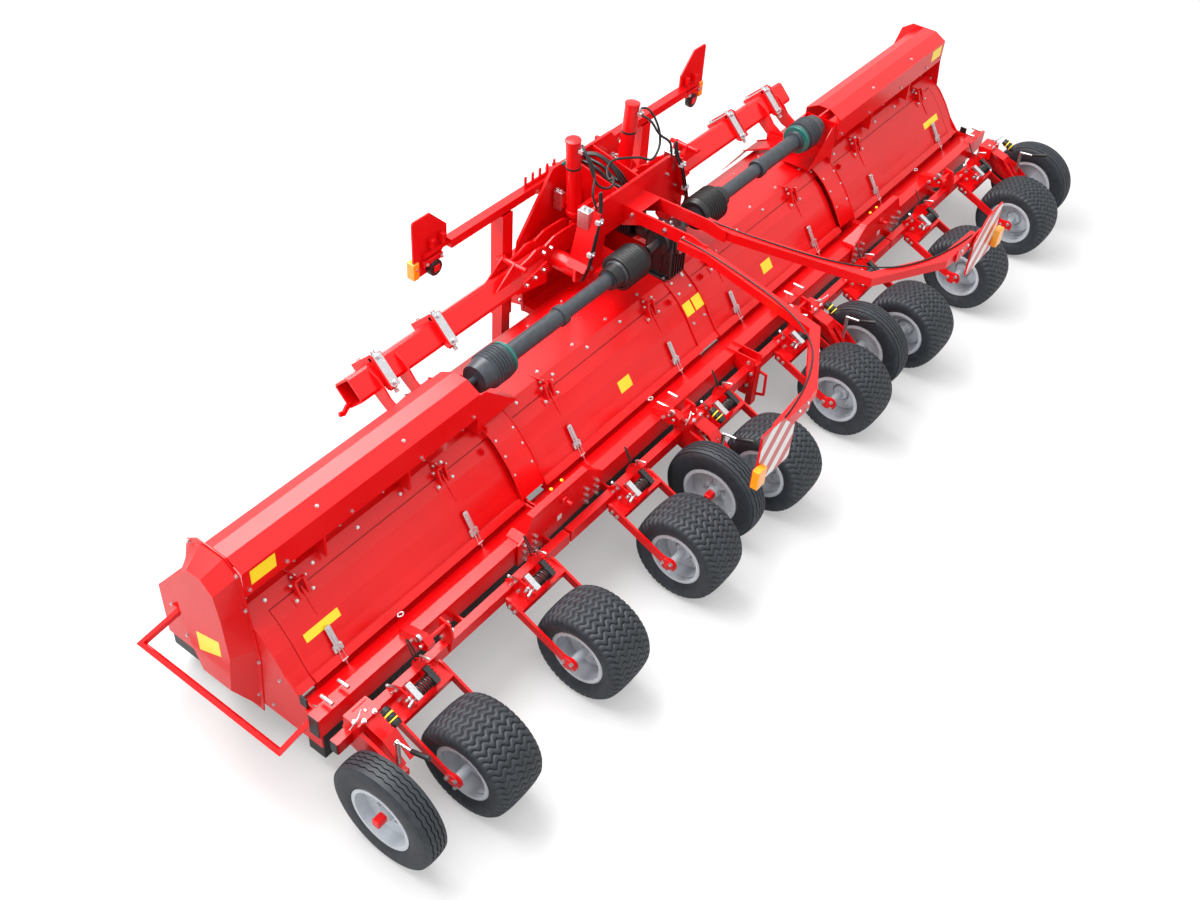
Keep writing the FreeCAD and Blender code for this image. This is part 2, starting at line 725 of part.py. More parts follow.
def guard_rail():
    """The bar that guards the wing's end, on two arms that slope outwards and down."""
    x0, x1, size = D.end_x + 16, D.end_x + 214, 32
    front, rear = D.nose_y - 86, D.main_tube_y + 49
    rail = bent_tube([(x0, front - 70, 520), (x1, front, 396), (x1, rear, 396),
                      (x0, rear - 20, 470)], size)
    feet = [box(D.end_x, D.end_x + 20, y - 34, y + 34, z - 34, z + 34)
            for y, z in ((front - 70, 520), (rear - 12, 470))]
    return [rail, *feet]


# ---------------------------------------------------------------- rotors

def rotor(label, x0, x1):
    """A rotor tube with its stub shafts and four staggered rows of flails."""
    x0, x1 = length(x0), length(x1)
    tube = round_bar("X", x0 + 40, x1 - 40, D.rotor_y, D.rotor_z, D.rotor_tube_radius)
    shaft = round_bar("X", x0 - D.plate, x1 + D.plate, D.rotor_y, D.rotor_z, D.rotor_shaft_radius)
    parts = [tube, shaft]
    count = int((x1.number - x0.number - 200) // D.flail_pitch.number)
    for i in range(count + 1):
        x = x0 + 100 + D.flail_pitch * i
        blade = doc.addObject("Part::Box", "flail")
        bind(blade, "Length", D.flail_width)
        bind(blade, "Width", D.flail_thick)
        bind(blade, "Height", D.flail_reach - D.rotor_tube_radius + 10)
        angle = 90 * (i % 4) + 45 * ((i // 4) % 2)
        turn = App.Rotation(X, angle)
        out = turn.multVec(App.Vector(0, -D.flail_thick.number / 2,
                                      D.rotor_tube_radius.number - 10))
        place(blade, x - D.flail_width / 2, D.rotor_y + out.y, D.rotor_z + out.z, rotation=turn)
        parts.append(blade)
    node(label, *parts)


def rotors():
    inner = wing_start() + D.plate + D.running_gap
    outer = D.end_x - D.plate - D.running_gap
    reach = D.section_x - D.plate - D.running_gap
    rotor("left_rotor", -outer, -inner)
    rotor("centre_rotor", -reach, reach)
    rotor("right_rotor", inner, outer)


# ---------------------------------------------------------------- rear frame and wheel carriers

def hanger(x):
    """A ridge wheel's carrier: tray and link plates on the low tube, flat arms and the axle."""
    x = length(x)
    half = D.arm_offset - D.arm_thick + 3
    rear_y, front_y = D.low_tube_y - D.low_tube_depth, D.low_tube_y
    top_z, mid_z = D.low_tube_z, D.low_tube_z - 50
    tray = strip("YZ", [(rear_y - 115, mid_z - 35), (rear_y - 115, mid_z - 8),
                        (rear_y + 5, mid_z + 4)], 6, x - half, x + half)
    link = prism("YZ", [(rear_y + 10, mid_z - 15), (front_y + 8, top_z + 4), (front_y - 10, top_z + 20),
                        (rear_y - 13, top_z + 66), (rear_y - 40, top_z + 76),
                        (rear_y - 142, top_z + 40), (rear_y - 142, top_z + 10),
                        (rear_y - 90, mid_z - 6)], x - 116, x - 106)
    teeth = []
    for step in range(7):
        y = rear_y - 118 + step * 18
        z = top_z + 50 + step * 13 - step * step * 0.9
        teeth.append(prism("YZ", [(y - 7, z), (y + 5, z + 3), (y - 7, z + 26), (y - 12, z + 24)],
                           x + 62, x + 70))
    comb = prism("YZ", [(rear_y + 5, mid_z + 2), (front_y + 6, top_z + 10),
                        (front_y - 14, top_z + 70), (rear_y - 14, top_z + 108),
                        (rear_y - 78, top_z + 92), (rear_y - 132, top_z + 54),
                        (rear_y - 136, top_z + 20), (rear_y - 100, mid_z - 6)], x + 62, x + 70)
    slope = [(rear_y - 52, top_z + 82), (rear_y - 66, top_z + 98), (rear_y - 150, top_z + 54),
             (rear_y - 136, top_z + 38)]
    seats = [prism("YZ", slope, x - 98, x - 66), prism("YZ", slope, x + 30, x + 58)]
    coil = round_bar("X", x - 107, x + 63, rear_y - 100, top_z + 44, 24)
    parts = [tray, link, comb, coil] + seats + teeth
    for side in (-1, 1):
        outer = x + D.arm_offset * side
        inner = outer - D.arm_thick * side
        low, high = (inner, outer) if side > 0 else (outer, inner)
        d = D.arm_depth / 2
        z = D.ridge_tyre_radius
        arm = prism("YZ", [(-18, z - d - 4), (18, z - d - 6), (60, z - d + 12),
                           (D.arm_front_y - 6, D.arm_front_z - d * 1.1),
                           (D.arm_front_y, D.arm_front_z + d), (D.arm_front_y - 30, D.arm_front_z + d),
                           (60, z + d + 14), (20, z + d + 8), (-18, z + d + 2)],
                    low, high)
        boss = round_bar("X", low, high, 0, z, 42)
        parts += [arm, boss]
    parts.append(round_bar("X", x - D.arm_offset, x + D.arm_offset, 0, D.ridge_tyre_radius,
                           D.ridge_axle_radius))
    return parts


def tube_link(x):
    """The link that joins low tube to main tube: a bracket over the main tube and a low plate."""
    x = length(x)
    main_top, low_top = D.main_tube_z, D.low_tube_z
    rear = D.main_tube_y - D.main_tube_depth
    arm = prism("YZ", [(D.main_tube_y + 4, main_top - 2), (D.main_tube_y, main_top + 42),
                       (D.main_tube_y - 26, main_top + 54), (rear - 90, main_top + 84),
                       (rear - 128, main_top + 60), (rear - 128, main_top + 20),
                       (rear - 60, main_top - 10)], x - 24, x + 24)
    bar = round_bar("X", x - 40, x + 150, rear - 96, main_top + 54, 11)
    plate = prism("YZ", [(D.low_tube_y + 12, low_top - 92), (D.low_tube_y + 14, low_top + 70),
                         (rear - 60, main_top + 84), (rear - 128, main_top + 72),
                         (rear - 150, main_top - 10), (rear - 132, low_top - 40),
                         (rear - 110, low_top - 90)], x + 132, x + 144)
    return [arm, bar, plate]


def support_fork(x):
    """A right-hand support wheel's carrier: a boxed arm, a slotted plate, a strut and the axle."""
    outer = x - D.support_tyre_width / 2 - D.fork_gap
    inner = outer - D.fork_thick
    z = D.support_tyre_radius
    top_z, front_y = D.low_tube_z, D.low_tube_y
    arm = prism("YZ", [(D.support_y - 45, z - 40), (D.support_y + 40, z - 50),
                       (front_y - 5, top_z - 110), (front_y + 15, top_z),
                       (front_y - 60, top_z + 40),
                       (D.support_y + 110, z + 160), (D.support_y - 20, z + 60)], inner, outer)
    axle = round_bar("X", inner, x + D.support_rim_width * 0.3, D.support_y, z,
                     D.support_axle_radius)
    # the slotted plate slopes down to the rear, its slot open at the low end
    slope = [(D.support_y + 70, z + 98), (D.support_y + 186, z + 214), (front_y - 10, top_z + 78)]
    start, end = inner - 118, inner - 22
    plate = strip("YZ", slope, 8, start, end)
    slot = box(start + 34, start + 60, D.support_y + 40, D.support_y + 150, z + 60, z + 220)
    plate = cut(plate, slot)
    strut = prism("YZ", [(D.support_y + 60, z + 20), (D.support_y + 96, z + 6),
                         (front_y - 50, top_z - 20), (front_y - 90, top_z + 20)],
                  inner - 60, inner - 16)
    head = box(inner - 130, outer, front_y - 100, front_y + 4, top_z - 4, top_z + 84)
    web = box(inner - 66, inner + 2, D.support_y + 56, D.support_y + 92, z + 16, z + 60)
    return [arm, axle, plate, strut, head, web]


def tubes(x0, x1):
    """The two parallel square tubes along the rear and the plates that tie them together."""
    x0, x1 = length(x0), length(x1)
    main = box(x0, x1, D.main_tube_y - D.main_tube_depth, D.main_tube_y,
               D.main_tube_z - D.main_tube_height, D.main_tube_z)
    low = box(x0, x1, D.low_tube_y - D.low_tube_depth, D.low_tube_y,
              D.low_tube_z - D.low_tube_height, D.low_tube_z)
    return [main, low]


def sill(x0, x1):
    """The sloped sheet from the main tube's top edge to under the lids' lips."""
    line = [(D.lip_y + D.sill_lap, D.lip_z - D.sill_drop), (D.main_tube_y, D.main_tube_z - 8)]
    return strip("YZ", line, D.sheet, x0, x1)


def tie(x):
    """A plate that holds the low tube behind the main tube and both under the housing's rear."""
    return box(length(x) - 6, length(x) + 6, D.low_tube_y - 5, D.main_tube_y - 5,
               D.low_tube_z - 60, D.low_tube_z - 10)


def section_joint():
    """The right-hand boxed joint that closes over the centre frame's tube end, with chamfered ends."""
    rear, top = D.main_tube_y - D.main_tube_depth, D.main_tube_z
    low_x, high_x = D.section_x - 280, wing_start() + 300
    plate = prism("XZ", [(low_x - 120, top - 118), (high_x + 20, top - 150), (high_x + 20, top + 8),
                         (high_x - 40, top + 40), (high_x - 94, top + 142),
                         (low_x + 20, top + 142), (low_x - 10, top + 120),
                         (low_x - 120, top + 36)], rear - 16, rear - 6)
    ridge = [(rear - 12, top + 6), (D.main_tube_y + 18, top + 6), (D.main_tube_y + 18, top + 26),
             (D.main_tube_y - 20, top + 88), (D.main_tube_y - 42, top + 140), (rear - 12, top + 140)]
    hood = cut(prism("YZ", ridge, low_x - 110, high_x),
               prism("XZ", [(high_x + 1, top + 5), (high_x - 46, top + 40), (high_x - 96, top + 141),
                            (high_x + 1, top + 141)], rear - 13, D.main_tube_y + 30),
               prism("XZ", [(low_x - 111, top + 5), (low_x - 111, top + 141), (low_x + 18, top + 141),
                            (low_x - 12, top + 118), (low_x - 108, top + 30)],
                     rear - 13, D.main_tube_y + 30))
    return [plate, hood, box(wing_start() + 10, wing_start() + 290, D.main_tube_y - 70,
                             D.main_tube_y, top - 5, top + 8)]


def middle_bracket():
    """Two plates with a post between them under the tubes' middle, and a lifting loop."""
    rear = D.main_tube_y - D.main_tube_depth
    side = prism("YZ", [(D.main_tube_y + 2, D.main_tube_z - 2), (D.main_tube_y + 2, D.main_tube_z + 16),
                        (rear - 150, D.main_tube_z + 16), (rear - 158, D.main_tube_z - 140),
                        (rear - 118, D.main_tube_z - 280), (rear - 62, D.main_tube_z - 280),
                        (rear - 62, D.low_tube_z - 60)], 34, 42)
    post = box(-30, 30, D.low_tube_y - 92, D.low_tube_y - 48, 220, D.low_tube_z + 50)
    loop = bent_tube([(34, rear - 120, 470), (34, rear - 206, 460), (34, rear - 212, 300),
                      (34, rear - 120, 264)], 14)
    return [*both(side), post, loop]


def rear_frames():
    parts = tubes(-D.section_x, D.section_x)
    parts.append(sill(D.plate - D.section_x, D.section_x - D.plate))
    for x in (-1440, -620, 0, 620, 1440):
        parts.append(tie(x))
    for index in range(2, 6):
        parts += hanger(ridge_x(index))
    for x in (-D.middle_link_left, D.middle_link_right):
        parts += tube_link(x)
    for piece in support_fork(D.inner_support_x):
        parts += both(piece)
    parts += middle_bracket()
    node("centre_rear_frame", *parts)
    for label, side in (("right", 1), ("left", -1)):
        shared = tubes(wing_start(), D.end_x + 60)
        shared.append(sill(wing_start() + D.plate, D.end_x - D.plate))
        for x in (D.row_pitch * 2.2, D.row_pitch * 3, D.row_pitch * 3.8):
            shared.append(tie(x))
        shared += support_fork(D.outer_support_x)
        shared += section_joint()
        frame = fuse(*shared)
        # the carriers and links face the same way on both wings
        own = hanger(ridge_x(3.5 + 2.5 * side)) + hanger(ridge_x(3.5 + 3.5 * side))
        own += tube_link(D.wing_link_right if side > 0 else -D.wing_link_left)
        node(f"{label}_rear_frame", frame if side > 0 else mirror(frame), *own)


def flap_set(x0, x1):
    """A housing's rubber curtains behind the rotor and in front of it."""
    rear, front = D.main_tube_y, D.nose_y - D.flap_inset
    return [box(x0, x1, rear, rear + D.flap_thick, D.flap_low,
                D.main_tube_z - D.main_tube_height + D.flap_overlap),
            box(x0, x1, front - D.flap_thick, front, D.flap_low, D.nose_z - D.front_tube)]


def flaps():
    clear = D.plate + 1
    node("centre_flaps", *flap_set(clear - D.section_x, D.section_x - clear))
    edge = D.end_x - D.plate
    side_flap = box(edge - D.flap_thick, edge, D.main_tube_y, D.nose_y - D.flap_inset, D.flap_low,
                    D.end_plate_low + D.flap_overlap)
    wing = fuse(*flap_set(wing_start() + clear, D.end_x - clear), side_flap)
    node("right_flaps", wing)
    node("left_flaps", mirror(wing))


# ---------------------------------------------------------------- fold beams and cylinders

def fold_beam():
    """The right wing's beam: box tube, pivot boss, inner lever, clamp saddles and its gussets."""
    half = D.beam_size / 2
    y0, y1 = D.beam_y - half, D.beam_y + half
    z0, z1 = D.pivot_z - half, D.pivot_z + half
    wall = D.beam_wall
    tube = cut(box(D.beam_start_x, D.beam_end_x, y0, y1, z0, z1),
               box(D.beam_start_x + 30, D.beam_end_x + 1, y0 + wall, y1 - wall, z0 + wall,
                   z1 - wall))
    boss_start = D.tower_rear_y + D.running_gap
    boss_end = D.tower_front_y - D.running_gap
    boss = round_bar("Y", boss_start, boss_end, D.pivot_x, D.pivot_z, D.pivot_boss_radius)
    parts = [tube]
    for y in (D.beam_y - D.lever_gap - D.lever_thick, D.beam_y + D.lever_gap):
        lever = prism("XZ", [(D.eye_x - 30, D.eye_z - 10), (D.eye_x - 5, D.eye_z - D.eye_radius),
                             (D.pivot_x - 40, D.pivot_z - 55), (D.beam_start_x + 20, z0),
                             (D.beam_start_x + 330, z1 - 2), (D.beam_start_x + 300, z1 + 10),
                             (D.beam_start_x + 130, z1 + 26), (D.beam_start_x + 60, z1 + 52),
                             (D.beam_start_x - 50, z1 + 40), (D.beam_start_x - 110, z1 + 66),
                             (D.eye_x + 70, D.eye_z + D.eye_radius + 22),
                             (D.eye_x + 15, D.eye_z + D.eye_radius),
                             (D.eye_x - 15, D.eye_z + D.eye_radius)], y, y + D.lever_thick)
        parts.append(lever)
    # the cylinder's pin shows as a head on either lever's outer face
    reach = D.lever_gap + D.lever_thick
    for near, far in ((-reach - 10, -D.lever_gap), (D.lever_gap, reach + 10)):
        parts.append(round_bar("Y", D.beam_y + near, D.beam_y + far, D.eye_x, D.eye_z,
                               D.eye_pin_radius))
    parts.append(boss)
    arm = cut(fuse(*parts), round_bar("Y", boss_start - 1, boss_end + 1, D.pivot_x, D.pivot_z,
                                      D.pivot_pin_radius + 0.05))
    grip = []
    for x in (D.inner_clamp_x, D.outer_clamp_x):
        grip.append(box(x - 12, x + 12, y0 - 14, y0, z0 - 14, z1 + 14))
        grip.append(box(x - 12, x + 12, y1, y1 + 14, z0 - 14, z1 + 14))
        grip.append(box(x - 12, x + 12, y0, y1, z0 - 14, z0))
        grip.append(box(x - 12, x + 12, y0, y1, z1, z1 + 14))
    back_end = D.outer_clamp_x + 62
    back = box(D.inner_clamp_x - D.clamp_half, back_end, y0 - 12, y0 - 2, z0, z1)
    # gussets down to a foot on the wing's hood, clear of the collar and the trough
    low, foot_y = D.brow_z, D.drive_y + D.trough_half + D.running_gap
    foot_x = wing_start() + D.plate + D.running_gap
    gussets = [prism("YZ", [(y0 - 2, z1), (y0 - 2, z0), (y0 - 60, z0 - 60), (D.brow_y, low),
                            (foot_y, low), (foot_y, low + 20), (y0 - 130, z0 + 30)], x, x + 12)
               for x in (foot_x, back_end - 12)]
    foot = box(foot_x, back_end, foot_y, D.brow_y, low, low + 16)
    tip_x, tip_z = D.beam_end_x, z0 + 5
    hook = prism("XZ", [(tip_x, tip_z), (tip_x + 40, tip_z - 35), (tip_x + 80, tip_z - 20),
                        (tip_x + 80, tip_z + 10), (tip_x + 50, tip_z), (tip_x + 25, tip_z + 30),
                        (tip_x - 10, tip_z + 30)], D.beam_y - 8, D.beam_y + 8)
    lug_x = D.beam_start_x + 295
    lug = [prism("XZ", [(lug_x + 176, z1 - 1), (lug_x + 6, z1 + 96), (lug_x - 20, z1 + 92),
                        (lug_x - 60, z1 - 1)], y, y + 12) for y in (y0 + 24, y1 - 60)]
    lug.append(round_bar("Y", y0 - 55, y1 - 30, lug_x, z1 + 74, 17))
    return fuse(arm, back, foot, hook, *grip, *gussets, *lug)


def fold_beams():
    node("right_fold_beam", fold_beam())
    node("left_fold_beam", mirror(fold_beam()))


def lean():
    """The direction from a right cylinder's trunnion to its rod eye."""
    dx, dz = (D.eye_x - D.trunnion_x).number, (D.eye_z - D.trunnion_z).number
    run = math.hypot(dx, dz)
    return App.Vector(dx / run, 0, dz / run)


def slanted(start, end, radius):
    """A round bar along a right cylinder's line, measured from its trunnion to its rod eye."""
    way = lean()
    start, end = length(start), length(end)
    bar = doc.addObject("Part::Cylinder", "slanted")
    bind(bar, "Radius", radius)
    bind(bar, "Height", end - start)
    return place(bar, D.trunnion_x + start * way.x, D.beam_y, D.trunnion_z + start * way.z,
                 rotation=App.Rotation(Z, way))


def eye_distance():
    dx, dz = (D.eye_x - D.trunnion_x).number, (D.eye_z - D.trunnion_z).number
    return length(math.hypot(dx, dz))


def fold_cylinders():
    barrel = cut(slanted(-D.barrel_up, D.barrel_down, D.barrel_radius),
                 slanted(18 - D.barrel_up, D.barrel_down - 30, D.barrel_bore),
                 slanted(0, D.barrel_down + 1, D.piston_rod_radius + 0.3))
    pins = [round_bar("Y", D.beam_y + 40, D.beam_y + 92, D.trunnion_x, D.trunnion_z,
                      D.trunnion_radius),
            round_bar("Y", D.beam_y - 92, D.beam_y - 40, D.trunnion_x, D.trunnion_z,
                      D.trunnion_radius)]
    whole = fuse(barrel, *pins)
    node("right_fold_barrel", whole)
    reach = eye_distance()
    rod = slanted(-(D.barrel_up - 65), reach - 22, D.piston_rod_radius)
    piston = slanted(-(D.barrel_up - 45), -(D.barrel_up - 85), D.barrel_bore - 0.3)
    eye = cut(round_bar("Y", D.beam_y - 28, D.beam_y + 28, D.eye_x, D.eye_z, D.eye_radius - 4),
              round_bar("Y", D.beam_y - 29, D.beam_y + 29, D.eye_x, D.eye_z, 21))
    stem = fuse(rod, piston, eye)
    node("right_fold_rod", cut(stem, round_bar("Y", D.beam_y - 29, D.beam_y + 29, D.eye_x,
                                               D.eye_z, 21)))
    node("left_fold_barrel", mirror(NODES[-2]))
    node("left_fold_rod", mirror(NODES[-2]))


# ---------------------------------------------------------------- tower and headstock

def mirrored_outline(half):
    """The outline whose right half is given, from its lowest to its highest point."""
    return half + [(-length(x), z) for x, z in reversed(half)]


def tower():
    front_plate = cut(prism("XZ", mirrored_outline([
        (560, 540), (600, 930), (640, D.pivot_z - 20), (620, D.pivot_z + 90), (300, D.tower_top)]),
        D.tower_front_y, D.tower_front_y + D.tower_plate),
        round_bar("Y", D.tower_front_y - 1, D.tower_front_y + D.tower_plate + 1, 0, D.drive_z,
                  D.input_shaft_radius * 3))
    rear_plate = cut(prism("XZ", mirrored_outline([
        (285, 1188), (300, 1050), (400, 925), (480, 950), (575, D.pivot_z - 40),
        (575, D.pivot_z + 50), (535, 1120), (440, 1440), (350, 1455)]),
        D.tower_rear_y - D.tower_plate, D.tower_rear_y),
        round_bar("Y", D.tower_rear_y - D.tower_plate - 1, D.tower_rear_y + 1, 0, D.drive_z,
                  D.input_boot_radius + D.running_gap))
    parts = [front_plate, rear_plate]
    keel_y = D.drive_y + D.gearbox_depth / 2 + D.running_gap
    open_y = D.beam_y - 90
    keel = prism("YZ", [(keel_y, D.brow_z), (D.brow_y, D.brow_z), (D.face_y, D.face_z + 2),
                        (D.face_y + 70, D.face_z - 80), (D.tower_front_y, D.face_z - 80),
                        (D.tower_front_y, D.tower_top - 10), (D.tower_rear_y, 1410),
                        (D.tower_rear_y, 1190), (open_y, 1190), (open_y, D.brow_z + 50),
                        (keel_y, D.brow_z + 40)],
                 D.keel_x, D.keel_x + D.keel_thick)
    # feet that carry the rear plate's legs on the hood
    parts += both(prism("YZ", [(D.brow_y - 40, D.brow_z), (D.brow_y, D.brow_z),
                               (D.tower_rear_y, D.brow_z - 26), (D.tower_rear_y, D.brow_z + 30),
                               (D.brow_y - 40, D.brow_z + 20)], D.keel_x, 430))
    parts += both(keel)
    # shelf that ties the front plate to the hood's front tube
    parts.append(box(-560, 560, D.nose_y, D.tower_front_y, 545, 595))
    # cheeks that hold the cylinders' trunnions
    for y0 in (D.beam_y - 92, D.beam_y + 57):
        cheek = cut(box(D.keel_x + D.keel_thick, D.trunnion_x + 38, y0, y0 + 35,
                        D.trunnion_z - 36, D.trunnion_z + 36),
                    round_bar("Y", y0 - 1, y0 + 36, D.trunnion_x, D.trunnion_z,
                              D.trunnion_radius + 0.05))
        parts += both(cheek)
    parts += both(round_bar("Y", D.tower_rear_y - D.tower_plate - 20,
                            D.tower_front_y + D.tower_plate + 20, D.pivot_x, D.pivot_z,
                            D.pivot_pin_radius))
    # channels that run back over the gearbox to the light arms
    back = D.tower_rear_y - D.tower_plate
    channel = prism("YZ", [(back, D.drive_z + 20), (back, 1330), (960, 1330), (880, 1310),
                           (840, 1310), (840, 1225), (900, 1225), (1000, 1240), (1330, 1240)],
                    D.keel_x, D.keel_x + D.keel_thick)
    parts += both(channel)
    parts.append(box(-D.keel_x, D.keel_x, back - 130, back, 1322, 1330))
    # the flanges down the rear plate's sides and the stop blocks at its top corners
    parts += both(prism("XZ", [(575, D.pivot_z + 50), (535, 1120), (440, 1440), (425, 1440),
                               (520, 1120), (560, D.pivot_z + 50)], back - 60, D.tower_rear_y + 60))
    parts += both(box(440, 482, back, D.tower_rear_y + 50, 1330, 1440))
    # block where the hoses of both fold cylinders meet
    parts.append(box(-60, 60, D.tower_rear_y, D.tower_rear_y + 40, 1340, 1410))
    parts += headstock()
    node("centre_frame", *parts)


def headstock():
    """Cross tube, lower link brackets and top link bracket of the three-point hitch."""
    face = D.tower_front_y + D.tower_plate
    half = D.stand_x - D.stand_sleeve / 2
    parts = [box(-half, half, face, face + 100, 860, 960)]
    for offset in (-40, 40):
        x = D.link_half + offset
        parts += both(cut(prism("YZ", [(face, 560), (D.link_y - 40, D.link_z - 45),
                                       (D.link_y + 35, D.link_z - 45),
                                       (D.link_y + 45, D.link_z + 40),
                                       (face + 100, 870), (face, 870)], x - 8, x + 8),
                          round_bar("X", x - 9, x + 9, D.link_y, D.link_z,
                                    D.link_pin_radius)))
    bracket_top = D.bar_z - D.bar_size / 2 - D.running_gap
    for offset in (-34, 34):
        x = length(offset)
        ear = prism("YZ", [(face, D.top_link_z - 70), (D.link_y - 50, D.top_link_z - 40),
                           (D.link_y, D.top_link_z - 40), (D.link_y + 20, D.top_link_z + 30),
                           (D.link_y - 40, D.top_link_z + 60), (face, bracket_top)],
                    x - 8, x + 8)
        parts.append(cut(ear, round_bar("X", x - 9, x + 9, D.link_y - 20, D.top_link_z,
                                        D.top_pin_radius)))
    return parts


def stands():
    half, bore = D.stand_sleeve / 2, D.stand_leg / 2 + D.slide_clearance
    sleeve = cut(box(D.stand_x - half, D.stand_x + half, D.stand_y - half, D.stand_y + half,
                     D.stand_low, D.bar_z - D.bar_size / 2),
                 box(D.stand_x - bore, D.stand_x + bore, D.stand_y - bore, D.stand_y + bore,
                     D.stand_low - 1, D.bar_z))
    node("stand_sleeves", *both(sleeve))
    half, foot = D.stand_leg / 2, D.stand_foot / 2
    leg = fuse(box(D.stand_x - half, D.stand_x + half, D.stand_y - half, D.stand_y + half,
                   D.foot_thick, D.stand_low + 180),
               box(D.stand_x - foot, D.stand_x + foot, D.stand_y - foot, D.stand_y + foot, 0,
                   D.foot_thick))
    node("right_stand", leg)
    node("left_stand", mirror(leg))


# ---------------------------------------------------------------- lights

def light_bar():
    half = D.bar_size / 2
    bar = box(-D.bar_half, D.bar_half, D.bar_y - half, D.bar_y + half, D.bar_z - half,
              D.bar_z + half)
    clips = [box(x - 12, x + 12, D.tower_front_y + D.tower_plate, D.bar_y + half,
                 D.bar_z + half, D.bar_z + half + 30) for x in (-250, 250)]
    comb = [box(-510, -160, D.bar_y - 4, D.bar_y + 4, D.bar_z + half, D.bar_z + half + 25)]
    comb += [box(x, x + 18, D.bar_y - 4, D.bar_y + 4, D.bar_z + half + 20, D.bar_z + half + 80)
             for x in (-510, -440, -370, -300, -230)]
    inner, front = D.bar_half - 12, D.bar_y + half - 2
    outer, rear = inner + D.board_width, front - D.board_thick
    top, low, corner = D.bar_z + D.board_top, D.bar_z + D.board_top - D.board_height, D.board_corner
    board = prism("XZ", [(inner, low + corner), (inner + corner, low), (outer - 14, low),
                         (outer, low + 14), (outer, top - 14), (outer - 14, top),
                         (inner + corner, top), (inner, top - corner)], rear, front)
    arms = box(D.bar_half - 60, D.bar_half + 200, rear - 20, rear, D.bar_z - 15, D.bar_z + 15)
    lamp = box(outer - 38, outer + 6, rear - 6, front + 38, low + 2, low + D.lamp_height)
    node("front_light_bar", bar, *clips, *comb, *both(board), *both(arms), *both(lamp))


def rear_arms():
    start_x = D.keel_x + D.keel_thick + D.arm_tube / 2
    right = bent_tube([(start_x, 1010, 1270), (start_x, 800, 1270), (330, -45, 1255),
                       (790, -295, 1255), (1180, -320, 1255)], D.arm_tube)
    inner, outer = D.rear_board_x, D.rear_board_x + D.rear_board_width
    low, top, corner = D.rear_board_low, D.rear_board_top, D.rear_board_corner
    face = -D.rear_board_y
    board = prism("XZ", [(inner, low + 16), (inner + 16, low), (outer, low + 30), (outer, top - 14),
                         (outer - 14, top), (inner + corner, top - 12), (inner, top - corner)],
                  face, face + D.board_thick)
    lug = box(1160, 1200, -355, -320, 1230, 1280)
    lamp = box(outer - 30, outer + 45, face - 40, face + 4, D.rear_lamp_low,
               D.rear_lamp_low + D.rear_lamp_height)
    node("rear_light_arms", *both(fuse(right, lug, board, lamp)))


# ---------------------------------------------------------------- drive line

def gearbox():
    y0, y1 = D.drive_y - D.gearbox_depth / 2, D.drive_y + D.gearbox_depth / 2
    case = box(-D.gearbox_half, D.gearbox_half, y0, y1, D.brow_z, D.gearbox_top)
    crown = round_bar("Y", y0 + 10, y1 - 10, 0, D.drive_z, D.gearbox_crown_radius)
    reach = D.joint_x - D.joint_ball - D.slide_clearance
    stubs = round_bar("X", -reach, reach, D.drive_y, D.drive_z, D.drive_shaft_radius)
    nose = round_bar("Y", y1, y1 + 60, 0, D.drive_z, 70)
    boot = cone("Y", y1 + 60, D.tower_rear_y + 120, 0, D.drive_z, D.input_boot_radius,
                D.input_boot_radius - 15)
    shaft = round_bar("Y", y1, D.tower_front_y + D.tower_plate + D.input_free, 0, D.drive_z,
                      D.input_shaft_radius)
    guard = round_bar("Y", D.tower_rear_y + 119, D.tower_front_y + D.tower_plate, 0, D.drive_z,
                      D.input_shaft_radius + 18)
    node("gearbox", case, crown, stubs, nose, boot, guard, shaft)


def knuckle(x):
    """A joint's ball, its poles on the shaft's line."""
    ball = doc.addObject("Part::Sphere", "knuckle")
    bind(ball, "Radius", D.joint_ball)
    place(ball, x, D.drive_y, D.drive_z, rotation=TURNS["X"])
    reach = D.joint_ball + 5
    pin = round_bar("Y", D.drive_y - reach, D.drive_y + reach, x, D.drive_z, D.joint_pin_radius)
    return fuse(ball, pin)


def drive_shafts():
    y, z = D.drive_y, D.drive_z
    start = D.joint_x + D.boot_gap
    inner = fuse(knuckle(D.joint_x), round_bar("X", D.joint_x, start + 1, y, z, 20),
                 cone("X", start, start + 40, y, z, D.boot_radius - 20, D.boot_radius),
                 round_bar("X", start + 40, start + 200, y, z, D.boot_radius),
                 cone("X", start + 200, start + 250, y, z, D.boot_radius, D.inner_guard_radius + 15),
                 round_bar("X", start + 250, start + 300, y, z, D.inner_guard_radius + 15),
                 round_bar("X", start + 300, 1250, y, z, D.inner_guard_radius))
    end = D.wing_joint_x - D.boot_gap
    sleeve = cut(fuse(round_bar("X", 1050, end - 250, y, z, D.guard_radius),
                      cone("X", end - 270, end - 230, y, z, D.guard_radius, D.boot_radius),
                      round_bar("X", end - 230, end - 80, y, z, D.boot_radius - 8),
                      round_bar("X", end - 80, end, y, z, D.boot_radius - 28)),
                 round_bar("X", 1049, 1700, y, z, D.guard_bore))
    outer = fuse(sleeve, round_bar("X", end - 1, D.wing_joint_x, y, z, 20),
                 knuckle(D.wing_joint_x))
    node("right_shaft_inner", inner)
    node("right_shaft_outer", outer)
    node("left_shaft_inner", mirror(inner))
    node("left_shaft_outer", mirror(outer))


def hoses():
    """Two hoses from the front plate back to the block on the rear plate."""
    front, block = D.tower_front_y, D.tower_rear_y + 40
    runs = [hose([(x, front, 1440), (x, front - 70, 1440), (x, front - 150, 1432),
                  (x, block + 130, 1383), (x, block + 60, 1375), (x, block, 1375)], D.hose_radius)
            for x in (-24, 24)]
    node("hoses", *runs)


